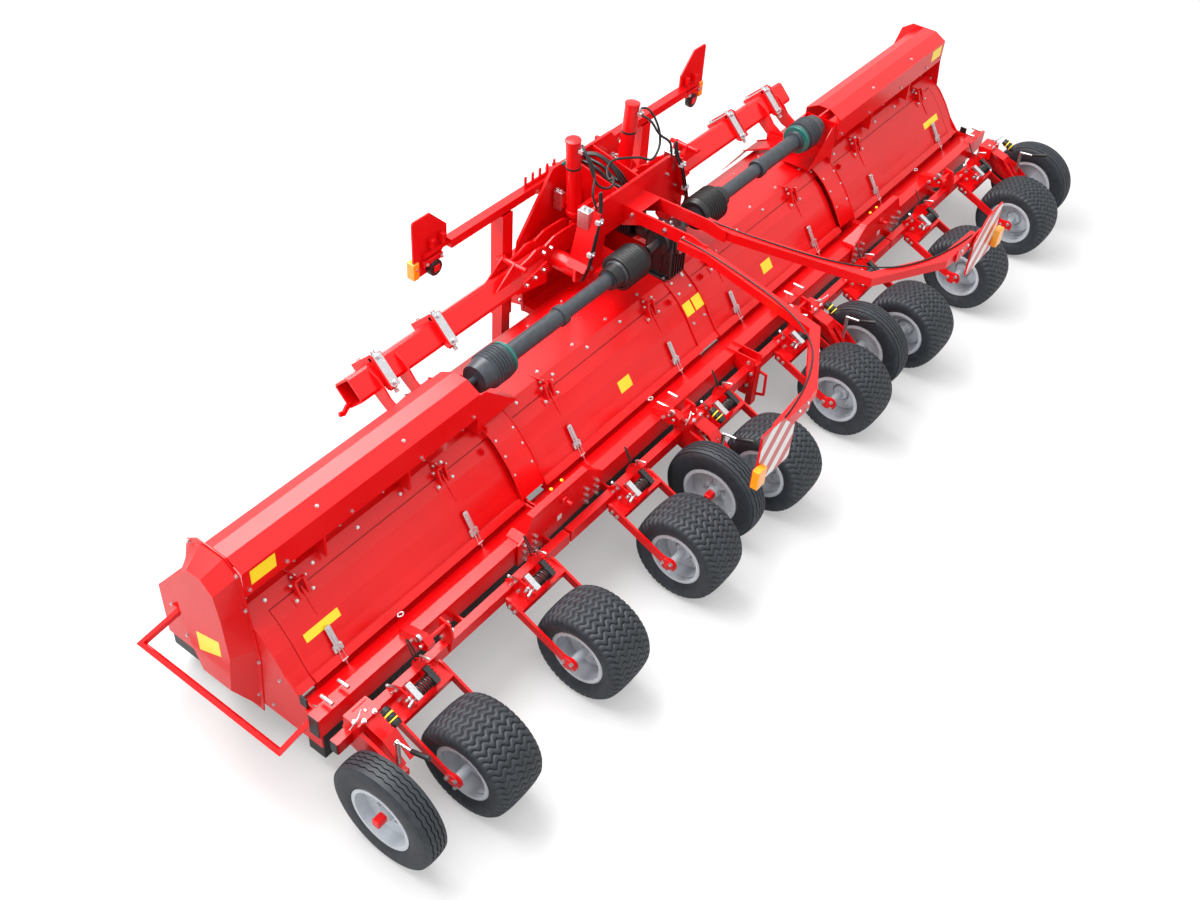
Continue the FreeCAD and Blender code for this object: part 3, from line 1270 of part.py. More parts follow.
ridge_wheels()
support_wheels()
centre_housing()
for label, side in (("right", 1), ("left", -1)):
    node(f"{label}_hood", wing_housing(side))
lids()
for label, side in (("right", 1), ("left", -1)):
    cover = fuse(*drive_cover(), *belt_guard(), *guard_rail())
    node(f"{label}_drive_cover", cover if side > 0 else mirror(cover))
rotors()
rear_frames()
flaps()
fold_beams()
fold_cylinders()
tower()
stands()
light_bar()
rear_arms()
gearbox()
drive_shafts()
hoses()

doc.recompute()
faults = [f"{o.Name} ({o.Label}): {o.State}" for o in doc.Objects
          if "Invalid" in o.State or "Error" in o.State]
for piece in NODES:
    if piece.Shape.isNull() or not piece.Shape.isValid():
        faults.append(f"{piece.Label}: shape")
if faults:
    raise SystemExit("\n".join(faults))

os.makedirs("parts", exist_ok=True)
for piece in NODES:
    piece.Shape.exportStep(f"parts/{piece.Label}.step")
print(len(NODES), "nodes")
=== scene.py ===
import bmesh
import bpy
import json
import math
from mathutils import Matrix, Vector


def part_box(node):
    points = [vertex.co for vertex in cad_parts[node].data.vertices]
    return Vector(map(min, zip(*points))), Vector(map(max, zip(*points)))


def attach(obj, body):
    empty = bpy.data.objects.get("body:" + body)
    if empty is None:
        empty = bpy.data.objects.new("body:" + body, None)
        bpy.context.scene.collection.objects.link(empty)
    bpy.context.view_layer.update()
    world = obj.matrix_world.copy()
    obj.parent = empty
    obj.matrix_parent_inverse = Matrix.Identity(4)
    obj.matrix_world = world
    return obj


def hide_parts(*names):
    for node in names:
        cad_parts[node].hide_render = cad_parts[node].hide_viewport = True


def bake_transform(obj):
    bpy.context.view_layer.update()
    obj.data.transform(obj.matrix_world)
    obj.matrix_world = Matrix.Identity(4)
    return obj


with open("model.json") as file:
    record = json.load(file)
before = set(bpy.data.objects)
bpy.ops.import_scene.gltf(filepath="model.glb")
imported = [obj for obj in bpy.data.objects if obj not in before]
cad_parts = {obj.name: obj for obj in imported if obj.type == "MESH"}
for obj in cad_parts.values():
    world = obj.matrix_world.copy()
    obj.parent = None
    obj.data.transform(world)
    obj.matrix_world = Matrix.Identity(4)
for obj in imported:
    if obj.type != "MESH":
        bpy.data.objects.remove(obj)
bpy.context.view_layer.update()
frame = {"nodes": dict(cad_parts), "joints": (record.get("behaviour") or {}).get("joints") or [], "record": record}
nodes = frame["nodes"]
MM = 0.001
X, Y, Z = Vector((1, 0, 0)), Vector((0, 1, 0)), Vector((0, 0, 1))


def joint(name):
    """The record's joint of that name."""
    return next(j for j in frame["joints"] if j["name"] == name)


def joint_place(name):
    return Vector(joint(name)["pos_m"])


AXLE_Y = joint_place("left_outer_spin").y          # the ridge wheels' axle line


def at(x, y, z):
    """A point given in millimetres, y measured forwards from the ridge wheels' axle line."""
    return Vector((x * MM, y * MM + AXLE_Y, z * MM))


# ---------------------------------------------------------------- materials

def linear(hex_code):
    """An sRGB hex colour as Blender's linear RGBA."""
    def channel(value):
        value /= 255
        return value / 12.92 if value <= 0.04045 else ((value + 0.055) / 1.055) ** 2.4
    return tuple(channel(int(hex_code[i:i + 2], 16)) for i in (1, 3, 5)) + (1.0,)


def add_node(owner, kind, settings=None, links=None):
    """Adds a node to a material or world. Settings set its properties or inputs; links feed it."""
    node = owner.node_tree.nodes.new(kind)
    for key, value in (settings or {}).items():
        if isinstance(key, str) and hasattr(node, key):
            setattr(node, key, value)
        else:
            node.inputs[key].default_value = value
    for key, source in (links or {}).items():
        owner.node_tree.links.new(source, node.inputs[key])
    return node


def new_material(name, colour, metallic=0.0, roughness=0.4, **shader):
    """A Principled material; returns it with its shader and the object coordinates."""
    material = bpy.data.materials.new(name)
    material.use_nodes = True
    surface = material.node_tree.nodes["Principled BSDF"]
    surface.inputs["Base Color"].default_value = linear(colour)
    surface.inputs["Metallic"].default_value = metallic
    surface.inputs["Roughness"].default_value = roughness
    for key, value in shader.items():
        surface.inputs[key.replace("_", " ")].default_value = value
    place = add_node(material, "ShaderNodeTexCoord")
    return material, surface, place.outputs["Object"]


def mottle(material, surface, place, dark, light, size_mm, detail=4.0):
    """Lets the colour drift between two close tones over patches of that size."""
    cloud = add_node(material, "ShaderNodeTexNoise", {"Scale": 1000 / size_mm, "Detail": detail},
                     {"Vector": place})
    ramp = add_node(material, "ShaderNodeValToRGB", links={"Fac": cloud.outputs["Fac"]})
    ramp.color_ramp.elements[0].position = 0.3
    ramp.color_ramp.elements[0].color = linear(dark)
    ramp.color_ramp.elements[1].position = 0.7
    ramp.color_ramp.elements[1].color = linear(light)
    material.node_tree.links.new(ramp.outputs["Color"], surface.inputs["Base Color"])


def grain(material, surface, place, size_mm, height_mm, strength=0.3):
    """Bump from a fine noise of that grain size and height."""
    noise = add_node(material, "ShaderNodeTexNoise", {"Scale": 1000 / size_mm, "Detail": 3.0},
                     {"Vector": place})
    bump = add_node(material, "ShaderNodeBump", {"Strength": strength, "Distance": height_mm * MM},
                    {"Height": noise.outputs["Fac"]})
    material.node_tree.links.new(bump.outputs["Normal"], surface.inputs["Normal"])


def rough_patches(material, surface, place, low, high, size_mm):
    """Roughness that wanders between two values, as handled or sprayed surfaces do."""
    noise = add_node(material, "ShaderNodeTexNoise", {"Scale": 1000 / size_mm, "Detail": 2.0},
                     {"Vector": place})
    spread = add_node(material, "ShaderNodeMapRange", {"To Min": low, "To Max": high},
                      {"Value": noise.outputs["Fac"]})
    material.node_tree.links.new(spread.outputs["Result"], surface.inputs["Roughness"])


def red_powder_coat():
    """Gloss polyester powder coat on steel: deep even red, slight orange peel, clear highlights."""
    material, surface, place = new_material("red_powder_coat", "#DE060B", 0.0, 0.3,
                                            Specular_IOR_Level=0.38, Coat_Weight=0.15,
                                            Coat_Roughness=0.1)
    mottle(material, surface, place, "#DA0409", "#E3070D", 320)
    grain(material, surface, place, 4.0, 0.02, 0.12)
    rough_patches(material, surface, place, 0.26, 0.34, 140)
    return material


def silver_enamel():
    """Silver-grey wheel enamel sprayed over pressed steel: satin with a fine metallic flake."""
    material, surface, place = new_material("silver_enamel", "#C0C6CD", 0.12, 0.36,
                                            Coat_Weight=0.25, Coat_Roughness=0.15)
    mottle(material, surface, place, "#B9C0C7", "#C8CDD3", 60)
    grain(material, surface, place, 1.5, 0.03, 0.2)
    return material


def tyre_rubber():
    """Vulcanised carbon-black rubber fresh from the mould: dark, slightly blue, dull sheen."""
    material, surface, place = new_material("tyre_rubber", "#262B31", 0.0, 0.55)
    mottle(material, surface, place, "#20252A", "#2D333A", 35)
    grain(material, surface, place, 2.0, 0.12, 0.35)
    return material


def zinc_plate():
    """Bright zinc electroplate on bolts and pins: pale metal with cloudy crystal patches."""
    material, surface, place = new_material("zinc_plate", "#D4D6D8", 1.0, 0.28)
    mottle(material, surface, place, "#C2C5C9", "#E2E3E4", 9)
    rough_patches(material, surface, place, 0.2, 0.4, 6)
    return material


def moulded_polyethylene():
    """Moulded HDPE of the shaft guards: black-grey, waxy, with a faint moulded texture."""
    material, surface, place = new_material("moulded_polyethylene", "#31363C", 0.0, 0.36)
    mottle(material, surface, place, "#2C3136", "#383E45", 45)
    grain(material, surface, place, 2.2, 0.06, 0.3)
    return material


def black_neoprene():
    """Moulded neoprene of boots, hoses and curtains: deep black with a soft highlight."""
    material, surface, place = new_material("black_neoprene", "#121315", 0.0, 0.42)
    mottle(material, surface, place, "#0F1011", "#191B1D", 30)
    grain(material, surface, place, 1.8, 0.05, 0.25)
    return material


def black_enamel():
    """Black enamel on cast gearbox, springs and rotors: satin, a little uneven."""
    material, surface, place = new_material("black_enamel", "#17181A", 0.0, 0.35,
                                            Coat_Weight=0.3, Coat_Roughness=0.2)
    grain(material, surface, place, 4.0, 0.12, 0.3)
    rough_patches(material, surface, place, 0.28, 0.5, 40)
    return material


def plain(name, colour, roughness, size_mm, shift, **shader):
    """A simple moulded or printed finish whose colour drifts slightly."""
    material, surface, place = new_material(name, colour, 0.0, roughness, **shader)
    mottle(material, surface, place, colour, shift, size_mm)
    return material


RED = red_powder_coat()
SILVER = silver_enamel()
TYRE = tyre_rubber()
ZINC = zinc_plate()
GUARD = moulded_polyethylene()
NEOPRENE = black_neoprene()
ENAMEL = black_enamel()
YELLOW = plain("vinyl_sticker_yellow", "#FFE92E", 0.35, 20, "#FFE426", Coat_Weight=0.2)
AMBER = plain("amber_acrylic", "#F79A12", 0.18, 12, "#FFA61E", Coat_Weight=0.6)
TEAL = plain("teal_acetal", "#15605A", 0.35, 15, "#1A6A62")
PALE = plain("grey_anodised_clamp", "#B4B8BD", 0.4, 25, "#A6ABB1")
FOIL_WHITE = plain("reflective_foil_white", "#E6E4E2", 0.32, 6, "#D9D7D6", Coat_Weight=0.5)
FOIL_RED = plain("reflective_foil_red", "#C4161B", 0.32, 6, "#B51218", Coat_Weight=0.5)

FINISH_OF_SLOT = {"red_paint": RED, "tyre_rubber": TYRE, "rim_silver": SILVER,
                  "black_guard": GUARD, "rubber_flap": NEOPRENE, "hose_rubber": NEOPRENE,
                  "rotor_steel": ENAMEL}
SLOT_OF_NODE = {s["node"]: s["material_slot"] for s in frame["record"]["subparts"]}


def dress_cad_nodes():
    for name, piece in nodes.items():
        piece.data.materials.clear()
        piece.data.materials.append(FINISH_OF_SLOT[SLOT_OF_NODE[name]])


# ---------------------------------------------------------------- modelling helpers

def nothing_selected():
    if bpy.context.mode != "OBJECT":
        bpy.ops.object.mode_set(mode="OBJECT")
    bpy.ops.object.select_all(action="DESELECT")


def settle(piece):
    """Puts the piece's place into its mesh, so that its object sits at the origin."""
    nothing_selected()
    bpy.context.view_layer.objects.active = piece
    piece.select_set(True)
    bpy.ops.object.transform_apply(location=True, rotation=True, scale=True)
    return piece


def edit(piece, select="SELECT"):
    nothing_selected()
    bpy.context.view_layer.objects.active = piece
    piece.select_set(True)
    bpy.ops.object.mode_set(mode="EDIT")
    bpy.ops.mesh.select_all(action=select)


def leave():
    bpy.ops.object.mode_set(mode="OBJECT")
    return bpy.context.object


def bevelled(piece, width, segments=2, angle=30):
    """Rounds the piece's sharp edges with a bevel that is applied."""
    if width > 0:
        bevel = piece.modifiers.new("edges", "BEVEL")
        bevel.width = width * MM
        bevel.segments = segments
        bevel.limit_method = "ANGLE"
        bevel.angle_limit = math.radians(angle)
        bpy.context.view_layer.objects.active = piece
        bpy.ops.object.modifier_apply(modifier=bevel.name)
    return piece


def smooth(piece, angle=35):
    nothing_selected()
    bpy.context.view_layer.objects.active = piece
    piece.select_set(True)
    bpy.ops.object.shade_smooth_by_angle(angle=math.radians(angle))
    return piece


def block(one, other, bevel=2):
    """A box with rounded edges between any two opposite corners in axle-line millimetres."""
    low, high = (at(*(pick(pair) for pair in zip(one, other))) for pick in (min, max))
    nothing_selected()
    bpy.ops.mesh.primitive_cube_add(size=1, location=(low + high) / 2, scale=high - low)
    return bevelled(settle(bpy.context.object), bevel)


QUARTER = math.pi / 2


def rod(start, end, radius, bevel=1.5, sides=24):
    """A round bar from start to end, both in axle-line millimetres."""
    run = (Vector(end) - Vector(start))
    nothing_selected()
    bpy.ops.mesh.primitive_cylinder_add(vertices=sides, radius=radius * MM,
                                        depth=run.length * MM, location=(0, 0, 0))
    piece = bpy.context.object
    piece.rotation_euler = run.to_track_quat("Z", "Y").to_euler()
    piece.location = (at(*start) + at(*end)) / 2
    return smooth(bevelled(settle(piece), bevel))


def traced(points):
    """A chain of vertices through the points, extruded one from the next in edit mode."""
    nothing_selected()
    bpy.ops.mesh.primitive_plane_add(size=0.01, location=(0, 0, 0))
    piece = bpy.context.object
    edit(piece)
    bpy.ops.mesh.merge(type="CENTER")
    bpy.ops.transform.translate(value=points[0])
    for before, after in zip(points, points[1:]):
        bpy.ops.mesh.extrude_vertices_move(TRANSFORM_OT_translate={"value": after - before})
    return piece


def lathe(profile, centre, steps=64, angle=35):
    """Spins a closed profile of (along X, radius) millimetres about a line along X."""
    points = [centre + Vector((along * MM, 0, radius * MM)) for along, radius in profile]
    piece = traced(points + points[:1])
    bpy.ops.mesh.select_all(action="SELECT")
    bpy.ops.mesh.spin(steps=steps, angle=2 * math.pi, center=centre, axis=(1, 0, 0))
    bpy.ops.mesh.select_all(action="SELECT")
    bpy.ops.mesh.remove_doubles(threshold=0.00001)
    bpy.ops.mesh.normals_make_consistent(inside=False)
    leave()
    return smooth(piece, angle)


AXES = {"XY": (X, Y, Z), "XZ": (X, Z, Y), "YZ": (Y, Z, X)}


def plate(plane, outline, start, end, bevel=2):
    """A flat plate: an outline in a plane, filled and extruded from start to end."""
    u, v, w = AXES[plane]
    base = at(0, 0, 0)
    points = [base + (u * a + v * b + w * start) * MM for a, b in outline]
    piece = traced(points)
    bpy.ops.mesh.select_all(action="SELECT")
    bpy.ops.mesh.edge_face_add()
    bpy.ops.mesh.extrude_region_move(TRANSFORM_OT_translate={"value": w * (end - start) * MM})
    bpy.ops.mesh.select_all(action="SELECT")
    bpy.ops.mesh.normals_make_consistent(inside=False)
    leave()
    return bevelled(piece, bevel)


def tube_along(points, radius, sides=12, order=3, cyclic=False):
    """A round cable or wire along a smooth curve near the points, as a mesh."""
    curve = bpy.data.curves.new("route", "CURVE")
    curve.dimensions = "3D"
    curve.bevel_depth = radius * MM
    curve.bevel_resolution = max(1, sides // 4 - 1)
    curve.use_fill_caps = True
    spline = curve.splines.new("NURBS")
    spline.points.add(len(points) - 1)
    for spot, point in zip(spline.points, points):
        spot.co = (*at(*point), 1)
    spline.order_u = min(order, len(points))
    spline.use_endpoint_u = not cyclic
    spline.use_cyclic_u = cyclic
    spline.resolution_u = 6
    piece = bpy.data.objects.new("route", curve)
    bpy.context.collection.objects.link(piece)
    nothing_selected()
    bpy.context.view_layer.objects.active = piece
    piece.select_set(True)
    bpy.ops.object.convert(target="MESH")
    return smooth(bpy.context.object, 50)


def finished(piece, name, finish, body):
    """Names a piece, gives it its finish and lets it ride on its body."""
    piece.name = name
    piece.data.name = name
    piece.data.materials.clear()
    piece.data.materials.append(finish)
    if body:
        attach(piece, body)
    return piece


def joined(pieces):
    """One object from several, which all share its finish."""
    nothing_selected()
    for piece in pieces:
        piece.select_set(True)
    bpy.context.view_layer.objects.active = pieces[0]
    if len(pieces) > 1:
        bpy.ops.object.join()
    return bpy.context.object


def copy_of(piece, matrix):
    """A copy with its own mesh, moved by a matrix; a mirrored one is turned right way out."""
    twin = piece.copy()
    twin.data = piece.data.copy()
    twin.data.transform(matrix)
    if matrix.determinant() < 0:
        twin.data.flip_normals()
    bpy.context.collection.objects.link(twin)
    return twin


def removed(*pieces):
    for piece in pieces:
        mesh = piece.data
        bpy.data.objects.remove(piece)
        bpy.data.meshes.remove(mesh)


MIRROR = Matrix.Diagonal((-1, 1, 1, 1))


def flipped(side):
    """The matrix that takes a right-hand piece to the given side."""
    return MIRROR if side < 0 else Matrix.Identity(4)


def shifted(x):
    """The matrix of a move along X."""
    return Matrix.Translation(X * x * MM)


def stamped(source, places):
    """Copies of a small part modelled at the world's origin, pointing along Z, at each place."""
    return [copy_of(source, Matrix.Translation(at(*place)) @
                    Vector(way).to_track_quat("Z", "Y").to_matrix().to_4x4())
            for place, way in places]


# ---------------------------------------------------------------- wheels

RIDGE = ["left_outer", "left_inner", "centre_left_outer", "centre_left_inner",
         "centre_right_inner", "centre_right_outer", "right_inner", "right_outer"]
SUPPORT = ["support_left_outer", "support_left_inner", "support_right_inner",
           "support_right_outer"]


BARS, BAR_DEPTH = 44, 11      # zigzag bars round a ridge tyre's tread
STEPS_A_BAR = 4
BAR_SPACING = (0.0, 0.70, 0.76, 0.94)      # where each step lies in a bar's pitch
ZIGZAG_SHIFT = (0.0, 0.55, 0.62, 0.07)     # how far each row across the tread is shifted
TREAD_ROWS = 18
SHOULDER, RIM_SEAT = 26, 150               # from the tyre's side to its tread; the bead's radius


def ridge_tyre(centre, radius, half, seat):
    """A wide turf tyre: beads, bulging sidewalls and zigzag bars over a gently crowned tread."""
    edge = half - SHOULDER
    across = [-edge + 2 * edge * k / TREAD_ROWS for k in range(TREAD_ROWS + 1)]
    tread = [(x, radius - 1 - 12 * (abs(x) / edge) ** 3) for x in across]
    side = [(-half + 27, seat), (-half + 24, seat + 16), (-half + 9, seat + 36),
            (-half + 1, seat + 58), (-half, radius - 58), (-half + 3, radius - 40),
            (-half + 9, radius - 26)]
    profile = side + tread + [(-x, z) for x, z in reversed(side)]
    tyre = lathe(profile, centre, steps=BARS * STEPS_A_BAR, angle=40)
    step = 2 * math.pi / (BARS * STEPS_A_BAR)
    pitch = step * STEPS_A_BAR
    for vertex in tyre.data.vertices:
        offset = vertex.co - centre
        reach = math.hypot(offset.y, offset.z)
        if reach < (radius - 44) * MM:
            continue
        on_tread = abs(offset.x) <= (edge + 1) * MM
        angle = math.atan2(offset.z, offset.y)
        index = round(angle / step)
        part = index % STEPS_A_BAR
        row = round((offset.x / MM + edge) / (2 * edge) * TREAD_ROWS)
        row = min(max(row, 0), TREAD_ROWS)
        target = (index - part) / STEPS_A_BAR + BAR_SPACING[part] + ZIGZAG_SHIFT[row % 4]
        turned = angle + (target * pitch - index * step) * (1.0 if on_tread else 0.9)
        depth = (BAR_DEPTH if part >= 2 else 0) * (1.0 if on_tread else 0.55) * MM
        vertex.co = centre + Vector((offset.x, (reach - depth) * math.cos(turned),
                                     (reach - depth) * math.sin(turned)))
    return tyre


def wheels():
    """One turf tyre, copied onto the eight ridge wheels."""
    centre = joint_place("left_outer_spin")
    radius = centre.z / MM
    low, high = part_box("left_outer_tyre")
    half = (high.x - low.x) / MM / 2
    tyre = ridge_tyre(centre, radius, half, RIM_SEAT)
    for name in RIDGE:
        twin = copy_of(tyre, Matrix.Translation(joint_place(f"{name}_spin") - centre))
        finished(twin, f"{name}_turf_tyre", TYRE, f"{name}_wheel")
        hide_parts(f"{name}_tyre")
    removed(tyre)


# ---------------------------------------------------------------- fasteners and small parts

def slab(points, thickness):
    """A thin sheet: corners in axle-line millimetres, thickened towards its own upper side."""
    corners = [at(*p) for p in points]
    normal = (corners[1] - corners[0]).cross(corners[2] - corners[1]).normalized()
    piece = traced(corners)
    bpy.ops.mesh.select_all(action="SELECT")
    bpy.ops.mesh.edge_face_add()
    bpy.ops.mesh.extrude_region_move(
        TRANSFORM_OT_translate={"value": normal * thickness * MM})
    bpy.ops.mesh.select_all(action="SELECT")
    bpy.ops.mesh.normals_make_consistent(inside=False)
    leave()
    return piece


WASHER = 3


def hex_bolt(across, height):
    """A hex head on its washer, made at the world's origin and pointing up."""
    nothing_selected()
    bpy.ops.mesh.primitive_cylinder_add(vertices=6, radius=across * 0.577 * MM,
                                        depth=height * MM,
                                        location=(0, 0, (WASHER + height / 2) * MM))
    head = bevelled(settle(bpy.context.object), across * 0.06, 1)
    nothing_selected()
    bpy.ops.mesh.primitive_cylinder_add(vertices=18, radius=across * 0.68 * MM,
                                        depth=WASHER * MM, location=(0, 0, WASHER / 2 * MM))
    return joined([head, bevelled(settle(bpy.context.object), 0.5, 1)])


def round_about(count, radius, start=0.0):
    """Offsets of evenly spaced places on a circle."""
    return [(radius * math.cos(start + 2 * math.pi * k / count),
             radius * math.sin(start + 2 * math.pi * k / count)) for k in range(count)]


def bolted(name, body, places, across=19, height=12):
    """Zinc bolts at (place, way) pairs as one piece."""
    source = hex_bolt(across, height)
    piece = joined(stamped(source, places))
    removed(source)
    return finished(piece, name, ZINC, body)


def group(name, finish, body, pieces):
    return finished(joined(pieces), name, finish, body)


UP, REARWARD, FORWARD = (0, 0, 1), (0, -1, 0), (0, 1, 0)
LEFTWARD, RIGHTWARD = (-1, 0, 0), (1, 0, 0)
SIDES = (("left", -1), ("right", 1))


def both_sides(source, finish, part, body):
    """Finished copies of a right-hand piece on either side, each on its own side's body."""
    twins = [finished(copy_of(source, flipped(side)), f"{side_name}_{part}", finish,
                      f"{side_name}_{body}") for side_name, side in SIDES]
    removed(source)
    return twins


def facing(y0, z0, y1, z1):
    """The outward way of a sheet that runs from (y0, z0) down and rearwards to (y1, z1)."""
    return Vector((0, -(z0 - z1), y0 - y1)).normalized()


def on_line(y0, z0, y1, z1, share):
    return y0 + (y1 - y0) * share, z0 + (z1 - z0) * share


# ---------------------------------------------------------------- lids and hoods

SEAM, NECK, CHEEK, WAIST = (1055, 850), (1000, 806), (923, 712), (862, 615)
SKIRT, LIP, CROWN, BROW, FACE = (817, 552), (778, 525), (1130, 905), (1440, 905), (1628, 800)
WING_HINGES, CENTRE_HINGES = (2265, 3282), (350, 1360)
LIDS = (("left_lid_body", -1, 1899, 3470, WING_HINGES),
        ("centre_left_lid_body", -1, 110, 1687, CENTRE_HINGES),
        ("centre_right_lid_body", 1, 110, 1687, CENTRE_HINGES),
        ("right_lid_body", 1, 1899, 3470, WING_HINGES))
LID_SHEET, LID_LAP = 5.4, 4       # the lids' wall, and how far it laps its frame at each end
HOOD_OF_LID = {"left_lid_body": "left_wing", "centre_left_lid_body": "centre",
               "centre_right_lid_body": "centre", "right_lid_body": "right_wing"}


def lid_spot(x, upper, lower, share, lift):
    """A point above one of the lid's facets."""
    y, z = on_line(*upper, *lower, share)
    way = facing(*upper, *lower)
    return (x, y + way.y * lift, z + way.z * lift)


def lid_strip(upper, lower, xs, shares, lift, thickness, bevel=0):
    """A strip on one of the lid's facets, between two shares of the way down it."""
    ring = [(min(xs), shares[0]), (min(xs), shares[1]), (max(xs), shares[1]), (max(xs), shares[0])]
    return bevelled(slab([lid_spot(x, upper, lower, share, lift) for x, share in ring], thickness),
                    bevel)


def latch(x):
    """An over-centre latch lying on the lid: bright lever, pivot block and the hook below it."""
    ring = [(x - 18, 1.5), (x + 18, 1.5), (x + 18, 0.4), (x + 12, 0.32), (x - 12, 0.32),
            (x - 18, 0.4)]
    lever = slab([lid_spot(px, CHEEK, WAIST, share, 14) for px, share in ring], 9)
    pieces = [bevelled(lever, 2),
              lid_strip(CHEEK, WAIST, (x - 6, x + 6), (0.5, 1.3), 20, 7, 1),
              lid_strip(WAIST, SKIRT, (x - 30, x + 30), (0.5, 0.95), 1, 18, 2)]
    base = Vector(lid_spot(x, WAIST, SKIRT, 0.72, 24))
    for turn in (-1, 1):
        pieces.append(tube_along([base + Vector(step) for step in (
            (turn * 9, 0, 0), (turn * 12, -18, -32), (turn * 12, -36, -58))], 4.5))
    hook = base + Vector((0, -36, -58))
    return pieces + [rod(hook - X * 20, hook + X * 20, 7),
                     rod(hook, hook + Vector((0, -16, -26)), 6)]


def lid_sheet(start, end, hinges):
    """The right-hand lid: folded sheet, hinge eyes, narrow gussets and the lip's flange."""
    line = [(1058, 852), NECK, CHEEK, WAIST, SKIRT, LIP]
    inner = []
    for before, (y, z), after in zip(line[:1] + line, line, line[1:] + line[-1:]):
        way = facing(*before, *after)
        inner.append((y - way.y * LID_SHEET, z - way.z * LID_SHEET))
    start, end = start - LID_LAP, end + LID_LAP
    pieces = [plate("YZ", line + inner[::-1], start, end, 0.8)]
    lip = [(LIP[0] + 2, LIP[1] - 3), (SKIRT[0] - 8, SKIRT[1] + 3), (SKIRT[0] - 13, SKIRT[1] + 8),
           (LIP[0] - 8, LIP[1] + 5)]
    pieces.append(plate("YZ", lip, start, end, 1))
    for x in hinges:
        for offset in (-28, 28):
            ear = [(1045, 916), (1011, 826), (1053, 846), (1073, 906), (1066, 917)]
            pieces.append(plate("YZ", ear, x + offset - 7, x + offset + 7, 1.5))
        fin = [(1052, 852), (1002, 808), (940, 733), (948, 748), (1010, 830), (1040, 880)]
        pieces.append(plate("YZ", fin, x - 4, x + 4, 1))
        pieces.append(lid_strip(SEAM, NECK, (x - 70, x + 70), (0.25, 0.9), 0, 6, 1))
    lug_y, lug_z = on_line(*SEAM, *NECK, 0.5)
    pieces.append(block((start + 70, lug_y - 26, lug_z - 6),
                        (start + 78, lug_y + 10, lug_z + 30), 2))
    return joined(pieces)


def lids():
    """Each pair of lids: the right one modelled, the left one its mirror image."""
    for pair in ((LIDS[0], LIDS[3]), (LIDS[1], LIDS[2])):
        start, end, hinges = pair[1][2:]
        sheet = lid_sheet(start, end, hinges)
        bright = joined([part for x in hinges for part in latch(x)])
        for body, side, *_ in pair:
            part = body.removesuffix("_body")
            flip = flipped(side)
            twin = finished(copy_of(sheet, flip), f"{part}_sheet", RED, body)
            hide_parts(part)
            finished(copy_of(bright, flip), f"{part}_latches", ZINC, body)
            places = []
            for x in hinges:
                x *= side
                places += [(lid_spot(x + offset, SEAM, NECK, 0.58, 6), facing(*SEAM, *NECK))
                           for offset in (-54, 54)]
                places += [(lid_spot(x + offset, *spot), facing(*CHEEK, *WAIST))
                           for offset, *spot in ((0, CHEEK, WAIST, 0.44, 22),
                                                 (-21, WAIST, SKIRT, 0.52, 16),
                                                 (21, WAIST, SKIRT, 0.52, 16))]
            bolted(f"{part}_bolts", body, places, 14, 8)
        removed(sheet, bright)


def seam_backings():
    """Folded edges on the hoods that close the gaps round the lids."""
    line = [SEAM, NECK, CHEEK, WAIST, SKIRT, LIP]
    rib = [(y + 7, z - 8) for y, z in line] + [(y + 12, z - 13) for y, z in reversed(line)]
    edge = [(1072, 843), (1052, 827), (1056, 822), (1076, 837)]
    sill = [(766, 480), (816, 486), (815, 492), (765, 486)]
    for body, side, start, end, _ in LIDS:
        part = body.removesuffix("_body")
        pieces = [plate("YZ", outline, *sorted((side * x0, side * x1)), 0)
                  for outline, x0, x1 in ((edge, start - 6, end + 6), (sill, start - 6, end + 6),
                                          (rib, start - 10, start + 6), (rib, end - 6, end + 10))]
        group(f"{part}_seam_backing", RED, HOOD_OF_LID[body], pieces)


def hinge_fittings():
    """Bright pins, bolts and washers where the hinge fins stand on the hoods."""
    for body, side, _, _, hinges in LIDS:
        part = body.removesuffix("_body")
        places = []
        for x in hinges:
            places += [((side * x + turn * step, y, 902), (turn, 0, 0))
                       for step, y in ((5, 1098), (45, 1061)) for turn in (1, -1)]
        bolted(f"{part}_hinge_bolts", HOOD_OF_LID[body], places, 15, 7)


def hood_studs():
    """Rows of bolts that hold the liners, along the hoods' crown, brow and face."""
    for hood, x0, x1, count in (("left_wing", -3520, -1960, 6), ("centre", -1640, 1640, 11),
                                ("right_wing", 1960, 3520, 6)):
        places = []
        for k in range(count):
            x = x0 + (x1 - x0) * k / (count - 1)
            if not (hood == "centre" and abs(x) < 140):
                places.append(((x, 1168, CROWN[1]), UP))
            places.append(((x + 60, *on_line(*SEAM, *CROWN, 0.62)), facing(*CROWN, *SEAM)))
            if abs(x) > 620:
                places.append(((x, *on_line(*BROW, *FACE, 0.35)), facing(*FACE, *BROW)))
        bolted(f"{hood}_hood_studs", hood, places, 15, 7)


FOIL, PROUD = 0.8, 0.6            # a sticker's thickness, and its gap from the paint
COLLAR_LIFT = 27                  # how far the collars stand above the lids' line


